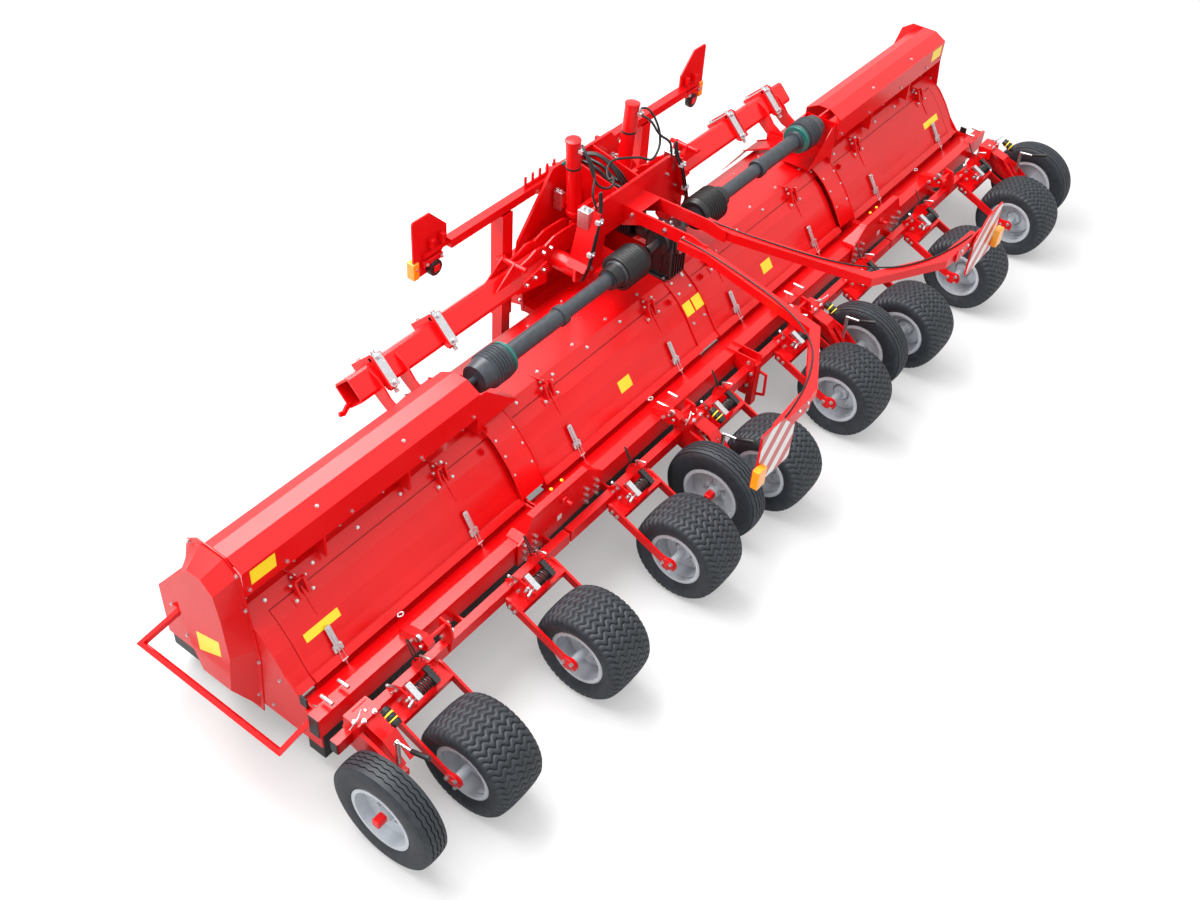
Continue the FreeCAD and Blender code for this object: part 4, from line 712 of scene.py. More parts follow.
def stickers():
    """Blank yellow notices on lids, centre strip and drive covers."""
    for side_name, side in SIDES:
        for lid, xs, shares in ((side_name, (3176, 3405), (0.02, 0.44)),
                                (f"centre_{side_name}", (752, 866), (0.32, 0.98))):
            notice = lid_strip(CHEEK, WAIST, [side * x for x in xs], shares, PROUD, FOIL)
            group(f"{lid}_lid_notice", YELLOW, f"{lid}_lid_body", [notice])
        x0, x1 = sorted((side * 3392, side * 3546))
        y = 1060 - PROUD
        notice = slab([(x0, y, 1196), (x0, y, 1106), (x1, y, 1106), (x1, y, 1196)], FOIL)
        group(f"{side_name}_cover_notice", YELLOW, f"{side_name}_wing", [notice])
    for name, xs in (("a", (-100, -8)), ("b", (8, 100))):
        notice = lid_strip(NECK, CHEEK, xs, (0.28, 1.0), 0.8, FOIL)
        group(f"centre_strip_notice_{name}", YELLOW, "centre", [notice])


def notice_on_guard(side):
    """A blank notice on the belt guard's outer face."""
    x = side * 3715.6
    corners = [(x, 1330, 712), (x, 1160, 762), (x, 1160, 650), (x, 1330, 572)]
    return slab(corners if side < 0 else corners[::-1], FOIL)


def wing_end_fittings():
    """Notices, bolts and pads at the outer ends of the wings."""
    for side_name, side in SIDES:
        wing = f"{side_name}_wing"
        group(f"{side_name}_guard_notice", YELLOW, wing, [notice_on_guard(side)])
        out = (side, 0, 0)
        face = side * 3596
        places = [((face, y, z), out) for y, z in (
            (1082, 300), (1034, 600), (1068, 960), (1092, 1186), (1420, 1196), (1508, 840),
            (1482, 520), (1424, 250))]
        places += [((side * 3590, y, z), out) for y, z in (
            (700, 470), (760, 330), (980, 300), (1620, 330), (1700, 520), (1560, 700), (900, 560))]
        bolted(f"{side_name}_end_bolts", wing, places, 17, 8)
        pads = [block((side * 3590, y - 26, z - 34), (side * 3602, y + 26, z + 34), 4)
                for y, z in ((1560, 520), (735, 540))]
        group(f"{side_name}_end_pads", NEOPRENE, wing, pads)
        # bolts along the shaft cover's foot and on its slope
        cover = [((side * x, 1059, 1085), REARWARD) for x in (1990, 2400, 2900, 3330, 3560)]
        cover += [((side * x, 1100, 1235), facing(1152, 1264, 1060, 1213)) for x in (2480, 3080)]
        bolted(f"{side_name}_cover_bolts", wing, cover, 15, 7)


def collar_fittings():
    """Bolts and round rims on the wings' collars beside the joints."""
    for side_name, side in SIDES:
        wing = f"{side_name}_wing"
        collar = []
        for x in (1722, 1868):
            collar += [(lid_spot(side * x, upper, lower, 0.5, COLLAR_LIFT), facing(*upper, *lower))
                       for upper, lower in ((SEAM, NECK), (NECK, CHEEK), (CHEEK, WAIST))]
            collar += [((side * x, y, 935), UP) for y in (1280, 1400)]
        bolted(f"{side_name}_collar_bolts", wing, collar, 15, 7)
        line = [(1667, 828), (1442, 939), (1128, 939), (1044, 884), (984, 840), (890, 730),
                (829, 624), (784, 554)]
        rims = [tube_along([(side * x, y, z) for y, z in line], 5, order=2)
                for x in (1697, 1889)]
        group(f"{side_name}_collar_rims", RED, wing, rims)


def centre_rims():
    """The round rims beside the fixed strip between the two middle lids."""
    line = [(1436, 909), (1130, 909), (1052, 856), (996, 811), (918, 716), (857, 618), (811, 555),
            (772, 527)]
    rims = [tube_along([(x, y, z) for y, z in line], 6, order=2) for x in (-103, 103)]
    group("centre_strip_rims", RED, "centre", rims)
    places = []
    for upper, lower, share in ((CROWN, SEAM, 0.5), (SEAM, NECK, 0.5), (CHEEK, WAIST, 0.5)):
        places += [(lid_spot(x, upper, lower, share, 0), facing(*upper, *lower))
                   for x in (-60, 60)]
    bolted("centre_strip_bolts", "centre", places, 15, 7)


# ---------------------------------------------------------------- fold beams

BEAM_Y, BEAM_Z, BEAM_HALF = 1740, 1030, 113
BEAM_START, BEAM_END, BEAM_BORE = 620, 2250, 1.1     # along X; the bore in metres
FACE_DEPTH = 82                                      # from the beam's middle to a face
CLAMPS = (1565, 2050)
PIVOT_X, PIVOT_Z = 500, 1030


def diamond(half, corner):
    """A square standing on its edge with cut corners, as (y, z) about the beam's middle."""
    points = []
    for y, z in ((0, 1), (-1, 0), (0, -1), (1, 0)):
        along = (-z, y)
        for turn in (-1, 1):
            points.append((BEAM_Y + (half - corner) * y + turn * along[0] * corner,
                           BEAM_Z + (half - corner) * z + turn * along[1] * corner))
    return points


def beam_tube():
    """The square tube that stands on its edge, open at its outer end."""
    outer = plate("YZ", diamond(BEAM_HALF, 11), BEAM_START, BEAM_END, 3)
    edit(outer, "DESELECT")
    mesh = bmesh.from_edit_mesh(outer.data)
    end = max(mesh.faces, key=lambda face: face.calc_center_median().x)
    end.select = True
    bmesh.update_edit_mesh(outer.data)
    bpy.ops.mesh.inset(thickness=10 * MM)
    bpy.ops.mesh.extrude_region_move(TRANSFORM_OT_translate={"value": (-BEAM_BORE, 0, 0)})
    return leave() and outer


def beam_clamp(x):
    """A saddle on both upper faces of the beam with its bright strap and the bolts' nuts."""
    saddle, strap, places = [], [], []
    for turn in (-1, 1):
        way = Vector((0, turn, 1)).normalized()           # a face's outward way
        down = Vector((0, turn, -1)).normalized()         # down the face
        middle = Vector((0, BEAM_Y, BEAM_Z)) + way * FACE_DEPTH

        def spot(offset, along, lift):
            place = middle + down * along + way * lift
            return (offset, place.y, place.z)

        def sheet(ring, lift, thickness, bevel):
            corners = [spot(x + offset, along, lift) for offset, along in ring]
            return bevelled(slab(corners[::turn], thickness), bevel)
        saddle.append(sheet([(-60, -104), (12, -104), (12, 104), (-60, 104)], -4, 22, 2))
        saddle.append(sheet([(12, -104), (24, -104), (24, 104), (12, 104)], -4, 40, 2))
        strap.append(sheet([(-52, -96), (-38, -108), (8, -108), (8, 96), (-6, 108), (-52, 108)],
                           19, 8, 1.5))
        places += [(spot(x - 22, along, 27), way) for along in (-84, 84)]
    for turn in (-1, 1):
        tip = (x - 16, BEAM_Y + turn * 150, BEAM_Z - 22)
        strap.append(rod(tip, (x - 16, BEAM_Y + turn * 96, BEAM_Z + 30), 9))
        places.append((tip, (0, turn * 0.7, -0.7)))
        saddle.append(block((x - 42, BEAM_Y + turn * 96, BEAM_Z - 26),
                            (x + 12, BEAM_Y + turn * 140, BEAM_Z + 14), 3))
    return saddle, strap, places


def beam_lever(y):
    """One of the two scalloped plates from the cylinder's pin over the pivot to the beam."""
    outline = [(214, 1120), (239, 1096), (460, 975), (640, 930), (760, 960), (950, 1128),
               (925, 1143), (830, 1146), (750, 1160), (690, 1184), (640, 1180), (600, 1166),
               (556, 1182), (510, 1196), (420, 1196), (314, 1188), (259, 1164), (229, 1164)]
    return plate("XZ", outline, y, y + 15, 2)


def swept_gusset(x):
    """A curved plate from the beam's rear face down to its foot on the hood."""
    outer = [(1712, 1124), (1652, 1098), (1600, 1052), (1562, 1004), (1500, 966), (1440, 948),
             (1330, 944)]
    inner = [(1330, 905), (1440, 905), (1520, 878), (1600, 905), (1660, 950), (1700, 985)]
    return plate("YZ", outer + inner, x, x + 12, 1.5)


def fold_beam():
    """The right wing's beam in one piece, with a second one for its bright parts."""
    red = [beam_tube()] + [beam_lever(y) for y in (BEAM_Y - 50, BEAM_Y + 35)]
    red.append(rod((PIVOT_X, 1498, PIVOT_Z), (PIVOT_X, 1877, PIVOT_Z), 62, 2, 48))
    for near, far in ((-60, -35), (35, 60)):
        red.append(rod((244, BEAM_Y + near, 1130), (244, BEAM_Y + far, 1130), 16))
    straps, places = [], []
    for x in CLAMPS:
        saddle, strap, nuts = beam_clamp(x)
        red += saddle
        straps += strap
        places += nuts
    red += [swept_gusset(x) for x in (1899, 2100)]
    red.append(block((1899, 1330, 905), (2112, 1440, 921), 2))
    red.append(plate("XZ", [(2250, 935), (2290, 900), (2330, 915), (2330, 945), (2300, 935),
                            (2275, 965), (2240, 965)], 1732, 1748, 2))
    for y in (1664, 1760):
        red.append(plate("XZ", [(1091, 1100), (921, 1226), (895, 1222), (855, 1100)], y, y + 12, 2))
    red.append(rod((915, 1585, 1204), (915, 1810, 1204), 17))      # the levers' cross pin
    # a plate over the levers' foot on the beam's rear face, and the bolts
    red.append(plate("XZ", [(640, 940), (930, 1000), (930, 1040), (640, 1100)], 1640, 1656, 2))
    places += [((x, y, z), REARWARD) for x, y, z in (
        (680, 1640, 1060), (760, 1640, 1045), (840, 1640, 1030), (570, 1675, 1150),
        (640, 1675, 1150), (PIVOT_X, 1500, PIVOT_Z))]
    return red, straps, places


def fold_beams():
    """Both wings' beams: the right one modelled, the left one its mirror image."""
    red, straps, places = fold_beam()
    beams = both_sides(joined(red), RED, "beam", "wing")
    both_sides(joined(straps), ZINC, "beam_straps", "wing")
    for (side_name, side), beam in zip(SIDES, beams):
        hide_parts(f"{side_name}_fold_beam")
        bolted(f"{side_name}_beam_bolts", f"{side_name}_wing",
               [((side * x, y, z), way) for (x, y, z), way in places], 24, 16)


# ---------------------------------------------------------------- drive line

DRIVE_Y, DRIVE_Z = 1200, 1160              # the line of the shafts to the wings


def ring_profile(start, pitch, count, low, high):
    """A closed saw-tooth section of round folds, as (along, radius)."""
    points = []
    for k in range(count):
        along = start + pitch * k
        points += [(along, low), (along + pitch * 0.3, high), (along + pitch * 0.55, high)]
    end = start + pitch * count
    return [(start, low - 12)] + points + [(end, low), (end, low - 12)]


def boots():
    """Folded boots, couplings and bearing rings along the shafts to the wings."""
    centre = at(0, DRIVE_Y, DRIVE_Z)
    near = [lathe(ring_profile(338, 24, 8, 106, 117), centre, 56),
            lathe([(528, 60), (528, 82), (560, 74), (612, 70), (612, 60)], centre, 48),
            lathe([(302, 70), (302, 96), (338, 112), (338, 90)], centre, 56)]
    far = [lathe(ring_profile(1612, 21, 6, 97, 109), centre, 56),
           lathe([(1738, 70), (1738, 98), (1752, 92), (1822, 84), (1822, 70)], centre, 56),
           lathe([(1046, 50), (1046, 61), (1050, 64), (1094, 64), (1098, 58), (1098, 50)],
                 centre, 48),
           lathe([(1540, 52), (1540, 60), (1556, 66), (1556, 52)], centre, 48)]
    rings = [lathe([(1562, 60), (1562, 94), (1566, 99), (1590, 99), (1594, 95), (1594, 60)],
                   centre, 56)]
    both_sides(joined(near), NEOPRENE, "inner_boot", "shaft_inner_body")
    both_sides(joined(far), GUARD, "outer_boot", "shaft_outer_body")
    both_sides(joined(rings), TEAL, "coupling_ring", "shaft_outer_body")
    fold = lathe(ring_profile(0, 19, 10, 92, 104), Vector((0, 0, 0)), 56)
    turn = Matrix.Translation(at(0, 1424, DRIVE_Z)) @ Matrix.Rotation(QUARTER, 4, "Z")
    boot = copy_of(fold, turn)
    removed(fold)
    finished(boot, "input_boot", NEOPRENE, "centre")


def gearbox():
    """The cast gear case over the hood, its stub shafts, input nose, guard and bolted covers."""

    def lengthwise(y0, y1, radius, bevel=4, sides=40):
        return rod((0, y0, DRIVE_Z), (0, y1, DRIVE_Z), radius, bevel, sides)

    def crosswise(reach, radius, bevel, sides):
        return rod((-reach, DRIVE_Y, DRIVE_Z), (reach, DRIVE_Y, DRIVE_Z), radius, bevel, sides)
    case = [plate("XZ", [(-74, 905), (74, 905), (88, 950), (88, 1120), (62, 1232), (-62, 1232),
                         (-88, 1120), (-88, 950)], 1096, 1300, 10),
            lengthwise(1076, 1096, 72, 5, 48), lengthwise(1064, 1080, 40),
            crosswise(104, 82, 6, 48), lengthwise(1300, 1392, 74, 5, 48),
            rod((0, DRIVE_Y, 1228), (0, DRIVE_Y, 1246), 46, 4, 40),
            block((-108, 1110, 905), (108, 1286, 921), 4)]
    case += [block((x - 4, 1084, 930), (x + 4, 1098, 1100), 1.5) for x in (-56, -28, 0, 28, 56)]
    case += [block((-93, y - 4, 940), (93, y + 4, 1100), 1.5) for y in (1130, 1165, 1235, 1270)]
    shafts = [crosswise(214, 30, 2, 32), lengthwise(1392, 1985, 22, 2, 24),
              lengthwise(1609, 1905, 40, 2, 32)]
    piece = finished(joined(case + shafts), "gear_case", ENAMEL, "centre")
    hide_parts("gearbox")
    rim = [((u, 1076, DRIVE_Z + v), REARWARD) for u, v in round_about(6, 56)]
    feet = [((x, y, 921), UP) for x in (-98, 98) for y in (1130, 1266)]
    crown = [((u, DRIVE_Y + v, 1246), UP) for u, v in round_about(4, 34)]
    bolted("gearbox_bolts", "centre", rim + feet + crown, 15, 8)


CURTAIN_LOW, CURTAIN_BAND, STRIP = 130, 60, 95    # lower edge, uncut band, width of a strip


def curtain(x0, x1, y0, y1, high):
    """A rubber curtain slit into strips below its uncut band."""
    strips = round((x1 - x0) / STRIP)
    width = (x1 - x0) / strips
    edges = [x0 + width * k for k in range(strips + 1)]
    pieces = [block((a + 1, y0, CURTAIN_LOW), (b - 1, y1, high), 1.5)
              for a, b in zip(edges, edges[1:])]
    pieces.append(block((x0, y0 + 0.5, high - CURTAIN_BAND), (x1, y1 - 0.5, high), 0))
    return pieces


def curtains():
    """The slit rubber curtains behind and in front of the rotors, and at the wings' ends."""
    for name, body, x0, x1 in (("left", "left_wing", -3581, -1888),
                               ("centre", "centre", -1856, 1856),
                               ("right", "right_wing", 1888, 3581)):
        pieces = curtain(x0, x1, 647, 655, 460) + curtain(x0, x1, 1770, 1778, 520)
        if name != "centre":
            side = -1 if name == "left" else 1
            pieces += [block((side * 3573, near, CURTAIN_LOW), (side * 3581, far, 250), 2)
                       for near, far in ((655, 760), (1560, 1770))]
        piece = group(f"{name}_curtains", NEOPRENE, body, pieces)
        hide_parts(f"{name}_flaps")


# ---------------------------------------------------------------- tower

TRUNNION = Vector((258, 1740, 1280))
ROD_WAY = Vector((-14, 0, -150)).normalized()     # down the right cylinder from its trunnion


def barrel_caps():
    """Each barrel's end caps, hose fitting and the band that holds its hoses."""

    def ring(start, end, radius, bevel):
        return rod(TRUNNION + ROD_WAY * start, TRUNNION + ROD_WAY * end, radius, bevel, 40)
    sets = [("caps", RED, "red_paint", [ring(-487, -474, 50, 2), ring(30, 63, 54, 3)]),
            ("fitting", ZINC, "rim_silver", [rod((298, 1690, 1700), (298, 1668, 1712), 11),
                                             block((285, 1655, 1696), (318, 1690, 1724), 3),
                                             rod((300, 1672, 1724), (300, 1672, 1752), 8)]),
            ("band", NEOPRENE, "hose_rubber", [ring(-300, -286, 49.5, 1)])]
    for part, finish, slot, pieces in sets:
        both_sides(joined(pieces), finish, f"barrel_{part}", "barrel_body")


def tower_hoses():
    """Hydraulic hoses from the barrels' fittings to the clamps on the tower's flanges."""
    for side_name, side in SIDES:
        runs = [
            [(300, 1672, 1750), (330, 1640, 1770), (352, 1560, 1650), (330, 1520, 1540),
             (240, 1500, 1490), (180, 1500, 1500), (150, 1540, 1520)],
            [(300, 1655, 1705), (312, 1600, 1700), (330, 1540, 1600), (410, 1500, 1540),
             (404, 1482, 1480), (396, 1470, 1440)],
        ]
        for k, run in enumerate(runs):
            hose = tube_along([(side * x, y, z) for x, y, z in run], 8)
            finished(hose, f"{side_name}_cylinder_hose_{k}", NEOPRENE, None)
            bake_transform(hose)
        # the pair that runs down the flange to the beam's pivot
        route = [(396, 1450, 1560), (392, 1440, 1480), (440, 1412, 1380), (505, 1406, 1180),
                 (535, 1404, 1090), (545, 1440, 1000)]
        legs = [tube_along([(side * (x + offset), y, z) for x, y, z in route], 7.5)
                for offset in (-9, 9)]
        group(f"{side_name}_leg_hoses", NEOPRENE, "centre", legs)
        spots = ((440, 1392), (508, 1190))
        clamps = [block((side * (x - 24), 1396, z - 14), (side * (x + 24), 1428, z + 14), 3)
                  for x, z in spots]
        group(f"{side_name}_leg_clamps", PALE, "centre", clamps)
        bolted(f"{side_name}_leg_bolts", "centre",
               [((side * x, 1396, z), REARWARD) for x, z in spots], 14, 7)


def hose_bundle():
    """The bundle over the tower, the couplings where it splits, and the lamps' cables."""
    bundle = []
    for k, offset in enumerate((-26, 0, 26)):
        bundle.append(tube_along([(-180 + offset, 1900, 1470), (-120 + offset * 0.8, 1850, 1520),
                                  (-70 + offset * 0.7, 1780, 1555),
                                  (-48 + offset * 0.6, 1700, 1560 - k * 8),
                                  (-40 + offset * 0.5, 1600, 1500), (-20 + offset, 1560, 1440),
                                  (-10 + offset, 1535, 1392)], 8))
    bundle.append(tube_along([(150, 1540, 1520), (60, 1590, 1540), (-40, 1640, 1545),
                              (-140, 1600, 1530), (-190, 1530, 1500), (-150, 1540, 1520)], 8))
    group("tower_hose_bundle", NEOPRENE, "centre", bundle)
    couplings = [rod((x, 1930, 1462), (x + 4, 1872, 1500), 13) for x in (-206, -180, -154)]
    group("hose_couplings", TEAL, "centre", couplings)
    light_cable = [tube_along([(side * 142, 1010, 1306), (side * 142, 800, 1304),
                               (side * 330, -30, 1292), (side * 780, -290, 1292),
                               (side * 1140, -318, 1288)], 5) for side in (-1, 1)]
    group("light_cables", NEOPRENE, "centre", light_cable)


def stop_blocks():
    """Bright stop blocks at the tower's corners, with their bolts, and bolts on its plates."""
    blocks, places = [], []
    for side in (-1, 1):
        blocks.append(block((side * 420, 1464, 1326), (side * 486, 1546, 1446), 3))
        blocks.append(block((side * 268, 1806, 1222), (side * 304, 1872, 1352), 3))
        for way, spots in (
                (UP, ((452, 1490, 1446), (452, 1524, 1446), (286, 1824, 1352), (286, 1854, 1352),
                      (250, 1900, 1432))),
                (REARWARD, ((420, 1470, 1010), (470, 1470, 1200), (360, 1470, 1330),
                            (500, 1450, 1030))),
                (FORWARD, ((560, 1905, 620), (590, 1905, 900), (420, 1905, 1380),
                           (180, 1905, 640), (200, 1905, 1440), (500, 1925, 1030))),
                ((side, 0, 0), ((112, 1150, 1285), (112, 1010, 1290), (112, 1400, 1285),
                                (112, 920, 1270)))):
            places += [((side * x, y, z), way) for x, y, z in spots]
    group("tower_stop_blocks", ZINC, "centre", blocks)
    bolted("tower_bolts", "centre", places, 22, 12)


# ---------------------------------------------------------------- boards and lamps

STRIPE = 92


def striped_foil(name, body, corners, normal_y, y):
    """Slanted red and white foil bands cut to a board's outline, just off its face."""
    xs = [x for x, _ in corners]
    zs = [z for _, z in corners]
    sheets = ([], [])
    bottom, top = min(zs), max(zs)
    height = top - bottom
    start = min(xs) - height
    for k in range(math.ceil((max(xs) - start) / STRIPE)):
        a = start + k * STRIPE
        band = [(a, bottom), (a + STRIPE, bottom), (a + STRIPE + height, top), (a + height, top)]
        points = [(x, y, z) for x, z in clipped(band, corners)]
        if points:
            sheets[k % 2].append(slab(points if normal_y < 0 else points[::-1], FOIL))
    reds, whites = sheets
    group(f"{name}_white", FOIL_WHITE, body, whites)
    group(f"{name}_red", FOIL_RED, body, reds)


def clipped(shape, convex):
    """The part of a polygon inside a convex one whose corners run anticlockwise."""
    result = list(shape)
    for (ax, az), (bx, bz) in zip(convex, convex[1:] + convex[:1]):
        kept = []
        for (px, pz), (qx, qz) in zip(result, result[1:] + result[:1]):
            side_p = (bx - ax) * (pz - az) - (bz - az) * (px - ax)
            side_q = (bx - ax) * (qz - az) - (bz - az) * (qx - ax)
            if side_p >= 0:
                kept.append((px, pz))
            if side_p * side_q < 0:
                share = side_p / (side_p - side_q)
                kept.append((px + (qx - px) * share, pz + (qz - pz) * share))
        result = kept
        if len(result) < 3:
            return []
    return result


def anticlockwise(corners):
    area = sum(ax * bz - bx * az for (ax, az), (bx, bz) in zip(corners, corners[1:] + corners[:1]))
    return corners if area > 0 else corners[::-1]


REAR_FOIL = ((1081, 1040), (1093, 1027), (1424, 1052), (1424, 1395), (1412, 1405), (1228, 1394),
             (1081, 1258))
FRONT_FOIL = ((1202, 1402), (1337, 1267), (1464, 1267), (1475, 1278), (1475, 1638), (1464, 1650),
              (1337, 1650), (1202, 1515))


def boards():
    """Striped foil, lamps, brackets and bolts of the front and rear marker boards."""
    for side_name, side in SIDES:
        for end, outline, way, y in (("rear", REAR_FOIL, -1, -365.6),
                                     ("front", FRONT_FOIL, 1, 1968.6)):
            corners = anticlockwise([(side * x, z) for x, z in outline])
            striped_foil(f"{side_name}_{end}_foil", "centre", corners, way, y)
        lamps = [block((side * 1398, -407, 1090), (side * 1477, -363, 1212), 6),
                 block((side * 1441, 1948, 1261), (side * 1489, 2008, 1375), 6)]
        group(f"{side_name}_lamps", AMBER, "centre", lamps)
        # the round position lamp's housing behind the front board
        housing = [rod((side * 1330, 1920, 1290), (side * 1330, 1958, 1290), 52, 5, 32)]
        group(f"{side_name}_lamp_housing", NEOPRENE, "centre", housing)
        arm = [block((side * 880, -345, 1222), (side * 1200, -333, 1312), 3),
               block((side * 1306, 1912, 1272), (side * 1352, 1922, 1312), 3),
               block((side * 1260, 1930, 1330), (side * 1420, 1957, 1368), 3),
               block((side * 1240, 1925, 1430), (side * 1268, 1957, 1490), 3),
               block((side * 1330, 1925, 1430), (side * 1358, 1957, 1490), 3)]
        group(f"{side_name}_board_brackets", RED, "centre", arm)
        places = [((side * x, -345, z), REARWARD)
                  for x, z in ((925, 1290), (925, 1245), (1010, 1290))]
        places += [((side * x, 1926, 1348), REARWARD) for x in (1280, 1400)]
        places += [((side * 1460, 1954, 1330), REARWARD)]
        bolted(f"{side_name}_board_bolts", "centre", places, 17, 8)


# ---------------------------------------------------------------- wheel carriers

RIDGE_BODY = ["left_wing", "left_wing", "centre", "centre", "centre", "centre", "right_wing",
              "right_wing"]


ROW, WHEEL_Z, ARM_FACE = 900, 285, 195      # row spacing, wheel's middle, arms' outer faces


def coil_spring(start, end, y, z, radius, wire, turns):
    """A helical spring along X as a mesh tube."""
    points = []
    steps = 10
    for k in range(int(turns * steps) + 1):
        angle = 2 * math.pi * k / steps
        points.append((start + (end - start) * k / (turns * steps), y + radius * math.cos(angle),
                       z + radius * math.sin(angle)))
    return tube_along(points, wire, sides=8)


def ridge_unit():
    """One carrier's small parts about x = 0: bright, black and red ones and its bolts."""
    coil = coil_spring(-62, 26, 358, 544, 33, 5, 6)
    collars = [rod((x, 358, 544), (x + 6, 358, 544), 39, 1) for x in (-68, 26)]
    seat = [(404, 580), (414, 588), (396, 604), (308, 560), (318, 537)]
    black = [coil, *collars, plate("YZ", seat, 28, 60, 1.5),
             tube_along([(50, 469, 582), (46, 500, 650), (52, 536, 700), (74, 534, 668),
                         (72, 486, 596)], 4)]
    bright = [plate("YZ", seat, -102, -66, 1.5), rod((-150, 330, 536), (-98, 340, 544), 8),
              rod((-168, 452, 628), (-112, 440, 562), 8),
              rod((62, 447, 632), (60, 383, 656), 7), block((56, 440, 596), (66, 452, 634), 2),
              rod((-120, 358, 544), (-106, 358, 544), 15, 1)]
    places = [((-116, y, z), LEFTWARD) for y, z in ((420, 487), (369, 526), (440, 548), (470, 500))]
    places += [((70, y, 520), RIGHTWARD) for y in (420, 350)]
    # a bearing plate with a straight waist on each arm's outer face
    hub = [(34 * u + (24 if u > 0 else 4), WHEEL_Z + 41.4 * v) for u, v in round_about(20, 1)]
    red = []
    for side in (-1, 1):
        out = (side, 0, 0)
        red.append(plate("YZ", hub, *sorted((side * 194, side * 203)), 2))
        red.append(rod((side * ARM_FACE, 2, WHEEL_Z), (side * 212, 2, WHEEL_Z), 20, 2))
        places += [((side * ARM_FACE, y, z), out) for y, z in ((412, 437), (376, 422))]
        places += [((side * 203, y, z), out) for y, z in ((-14, 262), (-14, 310), (42, 288))]
    return black, bright, red, places


def ridge_units():
    """The eight ridge wheels' carriers, one model copied along the rows."""
    black, bright, red, places = ridge_unit()
    sets = [(joined(black), ENAMEL, "spring", "rotor_steel"),
            (joined(bright), ZINC, "spring_plates", "rim_silver"),
            (joined(red), RED, "hub_plates", "red_paint")]
    for index, (name, body) in enumerate(zip(RIDGE, RIDGE_BODY)):
        x = ROW * (index - 3.5)
        for source, finish, part, slot in sets:
            finished(copy_of(source, shifted(x)), f"{name}_{part}", finish, body)
        bolted(f"{name}_carrier_bolts", body, [((px + x, y, z), way) for (px, y, z), way in places],
               18, 11)
    removed(*[source for source, *_ in sets])


SUPPORT_HUB_Y, SUPPORT_HUB_Z = 118, 312
SUPPORT_HALF, SUPPORT_SEAT, TREAD_HALF = 75, 168, 62
GROOVE, ZIGZAG, ZIGZAGS = 9, 7, 36               # its depth, its swing, and bends to half a turn


def support_unit():
    """The right outer support wheel's small parts about its own middle."""
    x0 = -130                                        # the fork's inner face
    black = [rod((x0 - 88, *start), (x0 - 88, *end), *shape) for start, end, *shape in (
        ((348, 672), (250, 630), 24, 4), ((330, 664), (322, 661), 29, 2),
        ((300, 652), (292, 648), 29, 2), ((272, 640), (264, 636), 29, 2))]
    grip = [rod((x0 - 30, 116, 612), (x0 - 30, 2, 660), 13, 4)]
    bright = [rod((x0 - 30, 208, 600), (x0 - 30, 112, 613), 8),
              rod((x0 - 96, 654, 622), (x0 - 96, 584, 622), 11),
              rod((x0 + 20, 652, 622), (x0 + 20, 572, 622), 11),
              block((x0 - 40, 196, 420), (x0 - 20, 216, 606), 3),
              tube_along([(x0 - 44, 452, 622), (x0 - 20, 440, 604), (x0 + 20, 430, 600),
                          (x0 + 70, 412, 620)], 4.5)]
    yellow = [rod((x0 - 88, 316, 658), (x0 - 88, 308, 655), 27, 1),
              rod((x0 - 88, 286, 646), (x0 - 88, 280, 643), 27, 1)]
    places = [((x0 - 70, 456, 582), REARWARD), ((x0 + 10, 408, 470), LEFTWARD),
              ((x0 + 4, 300, 380), LEFTWARD), ((x0 - 6, 220, 330), LEFTWARD),
              ((x0 - 90, 410, 588), UP), ((x0 - 20, 410, 588), UP), ((x0 + 14, 440, 588), UP)]
    return black, grip, bright, yellow, places


def support_units():
    """The four support wheels' adjusters, fork bolts, hub caps and nuts."""
    black, grip, bright, yellow, places = support_unit()
    sets = [(joined(black), ENAMEL, "adjuster", "rotor_steel"),
            (joined(grip), NEOPRENE, "adjuster_grip", "hose_rubber"),
            (joined(bright), ZINC, "adjuster_pins", "rim_silver"),
            (joined(yellow), YELLOW, "adjuster_rings", None)]
    for name, x, body in (("support_left_outer", -3665, "left_wing"),
                          ("support_left_inner", -900, "centre"),
                          ("support_right_inner", 900, "centre"),
                          ("support_right_outer", 3665, "right_wing")):
        side = 1 if x > 0 else -1
        flip = shifted(x) @ flipped(side)
        for source, finish, part, slot in sets:
            finished(copy_of(source, flip), f"{name}_{part}", finish, body)
        bolted(f"{name}_fork_bolts", body,
               [((x + side * px, y, z), (side * way[0], way[1], way[2]))
                for (px, y, z), way in places], 18, 11)
        # square cap on the axle's outer end and the wheel's nuts
        cap = block((x + side * 38, SUPPORT_HUB_Y - 22, SUPPORT_HUB_Z - 22),
                    (x + side * 98, SUPPORT_HUB_Y + 22, SUPPORT_HUB_Z + 22), 5)
        finished(cap, f"{name}_hub_cap", RED, f"{name}_wheel")
        nuts = [((x + side * 2, SUPPORT_HUB_Y + u, SUPPORT_HUB_Z + v), (side, 0, 0))
                for u, v in round_about(5, 62)]
        bolted(f"{name}_wheel_nuts", f"{name}_wheel", nuts, 19, 14)
    removed(*[source for source, *_ in sets])


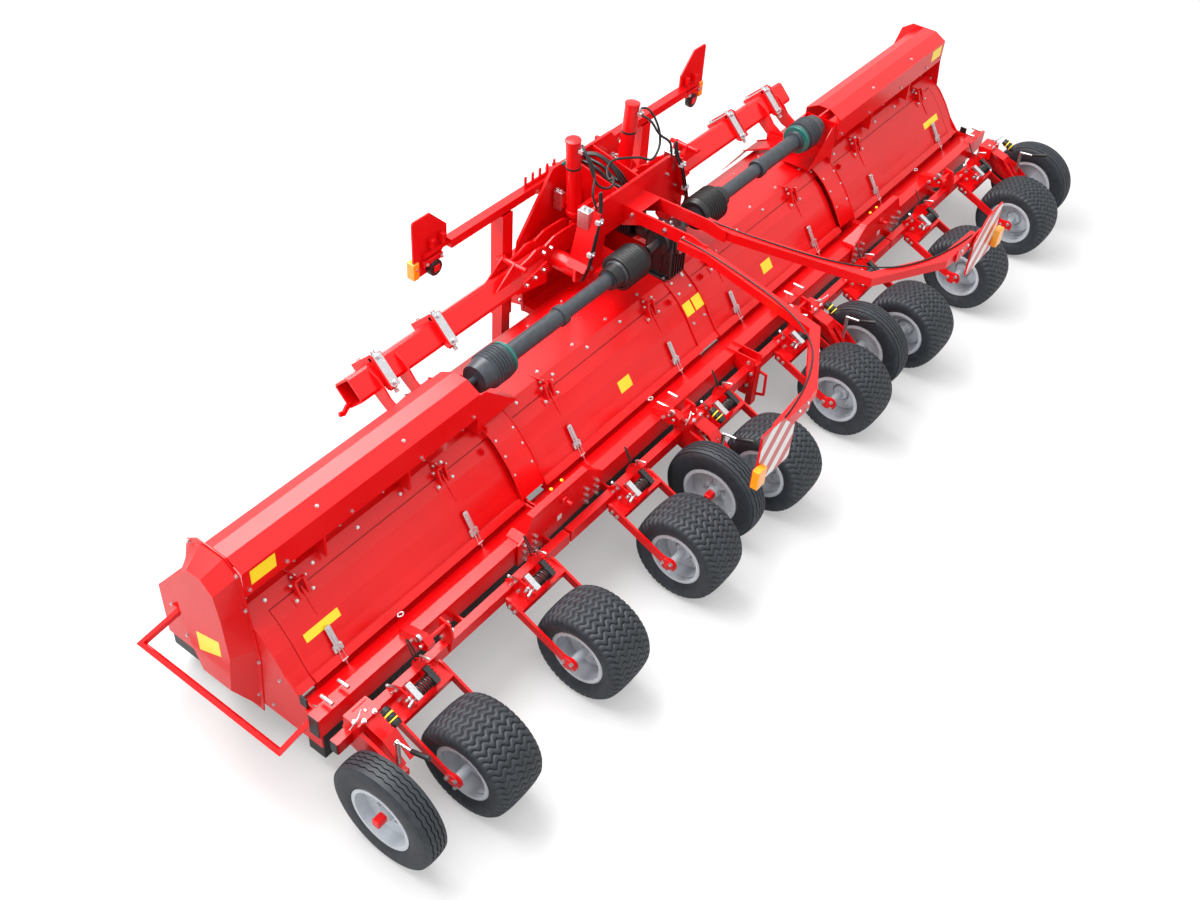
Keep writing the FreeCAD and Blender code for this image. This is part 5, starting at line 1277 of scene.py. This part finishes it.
def link_fittings():
    """Eyebolts, pins and bolts on the links between the two rear tubes."""
    for name, x, body in (("centre_left", -830, "centre"), ("centre_right", 520, "centre"),
                          ("left", -3005, "left_wing"), ("right", 2645, "right_wing")):
        bright = [rod((x - 46, 500, 680), (x - 28, 500, 680), 20, 2),
                  rod((x - 52, 481, 634), (x + 160, 481, 634), 9),
                  tube_along([(x + 60, 700, 600), (x + 84, 716, 600), (x + 60, 732, 600),
                              (x + 36, 716, 600)], 5, cyclic=True)]
        group(f"{name}_link_pins", ZINC, body, bright)
        places = [((x - 24, 560, 600), LEFTWARD), ((x - 24, 520, 640), LEFTWARD),
                  ((x + 144, 480, 560), RIGHTWARD), ((x + 144, 450, 600), RIGHTWARD),
                  ((x + 132, 470, 470), LEFTWARD), ((x + 132, 500, 530), LEFTWARD)]
        bolted(f"{name}_link_bolts", body, places, 20, 12)


JOINT_X, KNOB_X = 1846, 1819


def joint_fittings():
    """Bolts, knobs, caps and a blank square where the wings' rear tubes meet the middle one."""
    for side_name, side in SIDES:
        body = f"{side_name}_wing"
        places = [((side * x, 561, top - drop), REARWARD)
                  for x, top in ((2058, 558), (2150, 558), (1507, 567), (1600, 567))
                  for drop in (0, 50, 100)]
        bolted(f"{side_name}_joint_bolts", body, places, 22, 13)
        x0, x1 = side * JOINT_X - 18, side * JOINT_X + 18
        corners = [(x0, 560.4, 555), (x0, 560.4, 517), (x1, 560.4, 517), (x1, 560.4, 555)]
        group(f"{side_name}_joint_square", FOIL_WHITE, body, [slab(corners, FOIL)])
        knob = [rod((side * KNOB_X, y0, 655), (side * KNOB_X, y1, 655), radius, 3)
                for y0, y1, radius in ((566, 540, 26), (540, 500, 12))]
        group(f"{side_name}_joint_knob", RED, body, knob)
        caps = [rod((side * x, 620, 716), (side * x, 620, 726), 9, 2) for x in (1855, 1763)]
        group(f"{side_name}_joint_caps", YELLOW, body, caps)


# ---------------------------------------------------------------- support tyres and rims

def support_tyre():
    """A narrow implement tyre: round shoulders, four zigzag grooves round its tread."""
    centre = joint_place("support_left_outer_spin")
    radius, half, seat = centre.z / MM, SUPPORT_HALF, SUPPORT_SEAT
    ribs = []
    for a, b in ((-TREAD_HALF, -40), (-34, -14), (-8, 8), (14, 34), (40, TREAD_HALF)):
        crown_a, crown_b = (radius - (edge / TREAD_HALF) ** 2 * 7 for edge in (a, b))
        ribs += [(a, crown_a - GROOVE), (a + 0.5, crown_a), (b - 0.5, crown_b),
                 (b, crown_b - GROOVE)]
    profile = ([(-half + 17, seat), (-half + 14, seat + 14), (-half + 4, seat + 30),
                (-half, seat + 62), (-half + 2, radius - 44), (-half + 7, radius - 22)] + ribs +
               [(half - 7, radius - 22), (half - 2, radius - 44), (half, seat + 62),
                (half - 4, seat + 30), (half - 14, seat + 14), (half - 17, seat)])
    tyre = lathe(profile, centre, steps=144, angle=40)
    for vertex in tyre.data.vertices:
        offset = vertex.co - centre
        reach = math.hypot(offset.y, offset.z)
        if reach > (radius - 22) * MM and abs(offset.x) < 0.050:
            angle = math.atan2(offset.z, offset.y)
            swing = abs((angle * ZIGZAGS / math.pi) % 2 - 1) - 0.5
            vertex.co.x += swing * ZIGZAG * MM
    return tyre, centre


def support_wheels():
    """One tyre, copied onto the four support wheels."""
    tyre, centre = support_tyre()
    for name in SUPPORT:
        move = joint_place(f"{name}_spin") - centre
        twin = finished(copy_of(tyre, Matrix.Translation(move)), f"{name}_ribbed_tyre", TYRE,
                        f"{name}_wheel")
        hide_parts(f"{name}_tyre")
    removed(tyre)


def rim_details():
    """Pressed rings, hub and nuts on the ridge wheels' dished rims."""
    centre = joint_place("left_outer_spin")
    rings = [lathe([(-42, 60), (-42, 120), (-36, 128), (-28, 128), (-28, 60)], centre, 48),
             lathe([(-60, 20), (-60, 44), (-52, 52), (-28, 58), (-28, 20)], centre, 40),
             lathe([(-140, 146), (-143, 160), (-139, 167), (-134, 160), (-134, 146)], centre, 64),
             lathe([(-118, 138), (-114, 144), (-96, 144), (-92, 138)], centre, 64),
             lathe([(134, 146), (134, 160), (139, 167), (143, 160), (140, 146)], centre, 64)]
    ring = joined(rings)
    for name in RIDGE:
        move = joint_place(f"{name}_spin") - centre
        finished(copy_of(ring, Matrix.Translation(move)), f"{name}_rim_rings", SILVER,
                 f"{name}_wheel")
        spot = joint_place(f"{name}_spin")
        places = [((spot.x / MM - 42, u, WHEEL_Z + v), LEFTWARD)
                  for u, v in round_about(5, 86, 0.3)]
        bolted(f"{name}_rim_bolts", f"{name}_wheel", places, 17, 9)
    removed(ring)


def bracket_fittings():
    """Bolts on the middle bracket and the tube ends' caps."""
    bolted("bracket_bolts", "centre", [((side * 42, y, z), (side, 0, 0)) for side in (-1, 1)
                                       for y, z in ((470, 560), (440, 480), (460, 380))], 20, 12)
    for side_name, side in SIDES:
        cap = [block((side * 3648, 579, 442), (side * 3654, 645, 578), 2),
               block((side * 3648, 460, 422), (side * 3654, 506, 498), 2)]
        group(f"{side_name}_tube_caps", NEOPRENE, f"{side_name}_wing", cap)


# ---------------------------------------------------------------- stage

WHITE = (1, 1, 1, 1)
FLOOR_SIZE, FLOOR_DROP = 60, 0.0005          # metres; the drop keeps it clear of the soles
FLOOR_TONE = (0.5, 0.5, 0.5, 1)
FLOOR_GLOW = 0.3
LOW_LIGHT, TOP_LIGHT = 0.8, 1.4              # the studio's brightness at the floor and overhead


def floor():
    """A matt floor with a glow that only the camera sees: white where open, grey in shadow."""
    nothing_selected()
    bpy.ops.mesh.primitive_plane_add(size=FLOOR_SIZE, location=(0, 0, -FLOOR_DROP))
    ground = bpy.context.object
    edit(ground)
    bpy.ops.mesh.subdivide(number_cuts=3)
    leave()
    ground.name = "studio_floor"
    material = bpy.data.materials.new("studio_floor_white")
    material.use_nodes = True
    surface = material.node_tree.nodes["Principled BSDF"]
    surface.inputs["Base Color"].default_value = FLOOR_TONE
    surface.inputs["Roughness"].default_value = 0.9
    surface.inputs["Specular IOR Level"].default_value = 0.0
    path = add_node(material, "ShaderNodeLightPath")
    lift = add_node(material, "ShaderNodeMath", {"operation": "MULTIPLY", 1: FLOOR_GLOW},
                    {0: path.outputs["Is Camera Ray"]})
    glow = add_node(material, "ShaderNodeEmission", {"Color": WHITE},
                    {"Strength": lift.outputs[0]})
    lit = add_node(material, "ShaderNodeAddShader", None,
                   {0: surface.outputs[0], 1: glow.outputs[0]})
    out = material.node_tree.nodes["Material Output"]
    material.node_tree.links.new(lit.outputs[0], out.inputs["Surface"])
    ground.data.materials.append(material)


def area_light(name, place, aim, size, power):
    lamp = bpy.data.lights.new(name, "AREA")
    lamp.shape = "RECTANGLE"
    lamp.size, lamp.size_y = size
    lamp.energy = power
    holder = bpy.data.objects.new(name, lamp)
    bpy.context.collection.objects.link(holder)
    holder.location = place
    holder.rotation_euler = (Vector(aim) - Vector(place)).to_track_quat("-Z", "Y").to_euler()


def studio():
    """A pale studio: bright overhead, dimmer towards the floor, white behind the machine."""
    world = bpy.context.scene.world or bpy.data.worlds.new("studio")
    bpy.context.scene.world = world
    world.use_nodes = True
    world.node_tree.nodes.clear()
    path = add_node(world, "ShaderNodeLightPath")
    way = add_node(world, "ShaderNodeTexCoord")
    split = add_node(world, "ShaderNodeSeparateXYZ", None, {0: way.outputs["Generated"]})
    rise = add_node(world, "ShaderNodeMapRange",
                    {"From Min": -0.1, "To Min": LOW_LIGHT, "To Max": TOP_LIGHT},
                    {"Value": split.outputs["Z"]})
    soft = add_node(world, "ShaderNodeBackground", {"Color": WHITE},
                    {"Strength": rise.outputs["Result"]})
    white = add_node(world, "ShaderNodeBackground", {"Color": WHITE, "Strength": 1.0})
    mix = add_node(world, "ShaderNodeMixShader", None,
                   {0: path.outputs["Is Camera Ray"], 1: soft.outputs[0], 2: white.outputs[0]})
    add_node(world, "ShaderNodeOutputWorld", None, {"Surface": mix.outputs[0]})
    area_light("key_softbox", (-1.6, 3.6, 7.0), (0, 0, 0.6), (10, 3.5), 980)


CAMERA_PLACE = Vector((-5.992, -2.469 + AXLE_Y, 5.945))
CAMERA_TURN = (55.093, 42.047, 4.005)        # yaw from forwards, pitch down and roll, in degrees
CAMERA_SHIFT = (0.0109, -0.0300)
SENSOR, FOCAL = 36, 40.342                   # millimetres


def camera():
    lens = bpy.data.cameras.new("camera")
    lens.sensor_width = SENSOR
    lens.lens = FOCAL
    lens.shift_x, lens.shift_y = CAMERA_SHIFT
    lens.clip_end = 100
    holder = bpy.data.objects.new("camera", lens)
    bpy.context.collection.objects.link(holder)
    yaw, pitch, roll = (math.radians(angle) for angle in CAMERA_TURN)
    ahead = Vector((math.cos(pitch) * math.sin(yaw), math.cos(pitch) * math.cos(yaw),
                    -math.sin(pitch)))
    level = Vector((math.cos(yaw), -math.sin(yaw), 0))
    rise = level.cross(ahead)
    right = level * math.cos(roll) + rise * math.sin(roll)
    up = rise * math.cos(roll) - level * math.sin(roll)
    turn = Matrix((right, up, -ahead)).transposed().to_4x4()
    holder.matrix_world = Matrix.Translation(CAMERA_PLACE) @ turn
    bpy.context.scene.camera = holder


dress_cad_nodes()
wheels()
support_wheels()
rim_details()
lids()
seam_backings()
hinge_fittings()
hood_studs()
stickers()
wing_end_fittings()
collar_fittings()
centre_rims()
fold_beams()
boots()
gearbox()
curtains()
barrel_caps()
tower_hoses()
hose_bundle()
stop_blocks()
boards()
ridge_units()
support_units()
link_fittings()
joint_fittings()
bracket_fittings()
floor()
studio()
camera()
bpy.context.scene.view_settings.view_transform = "Standard"
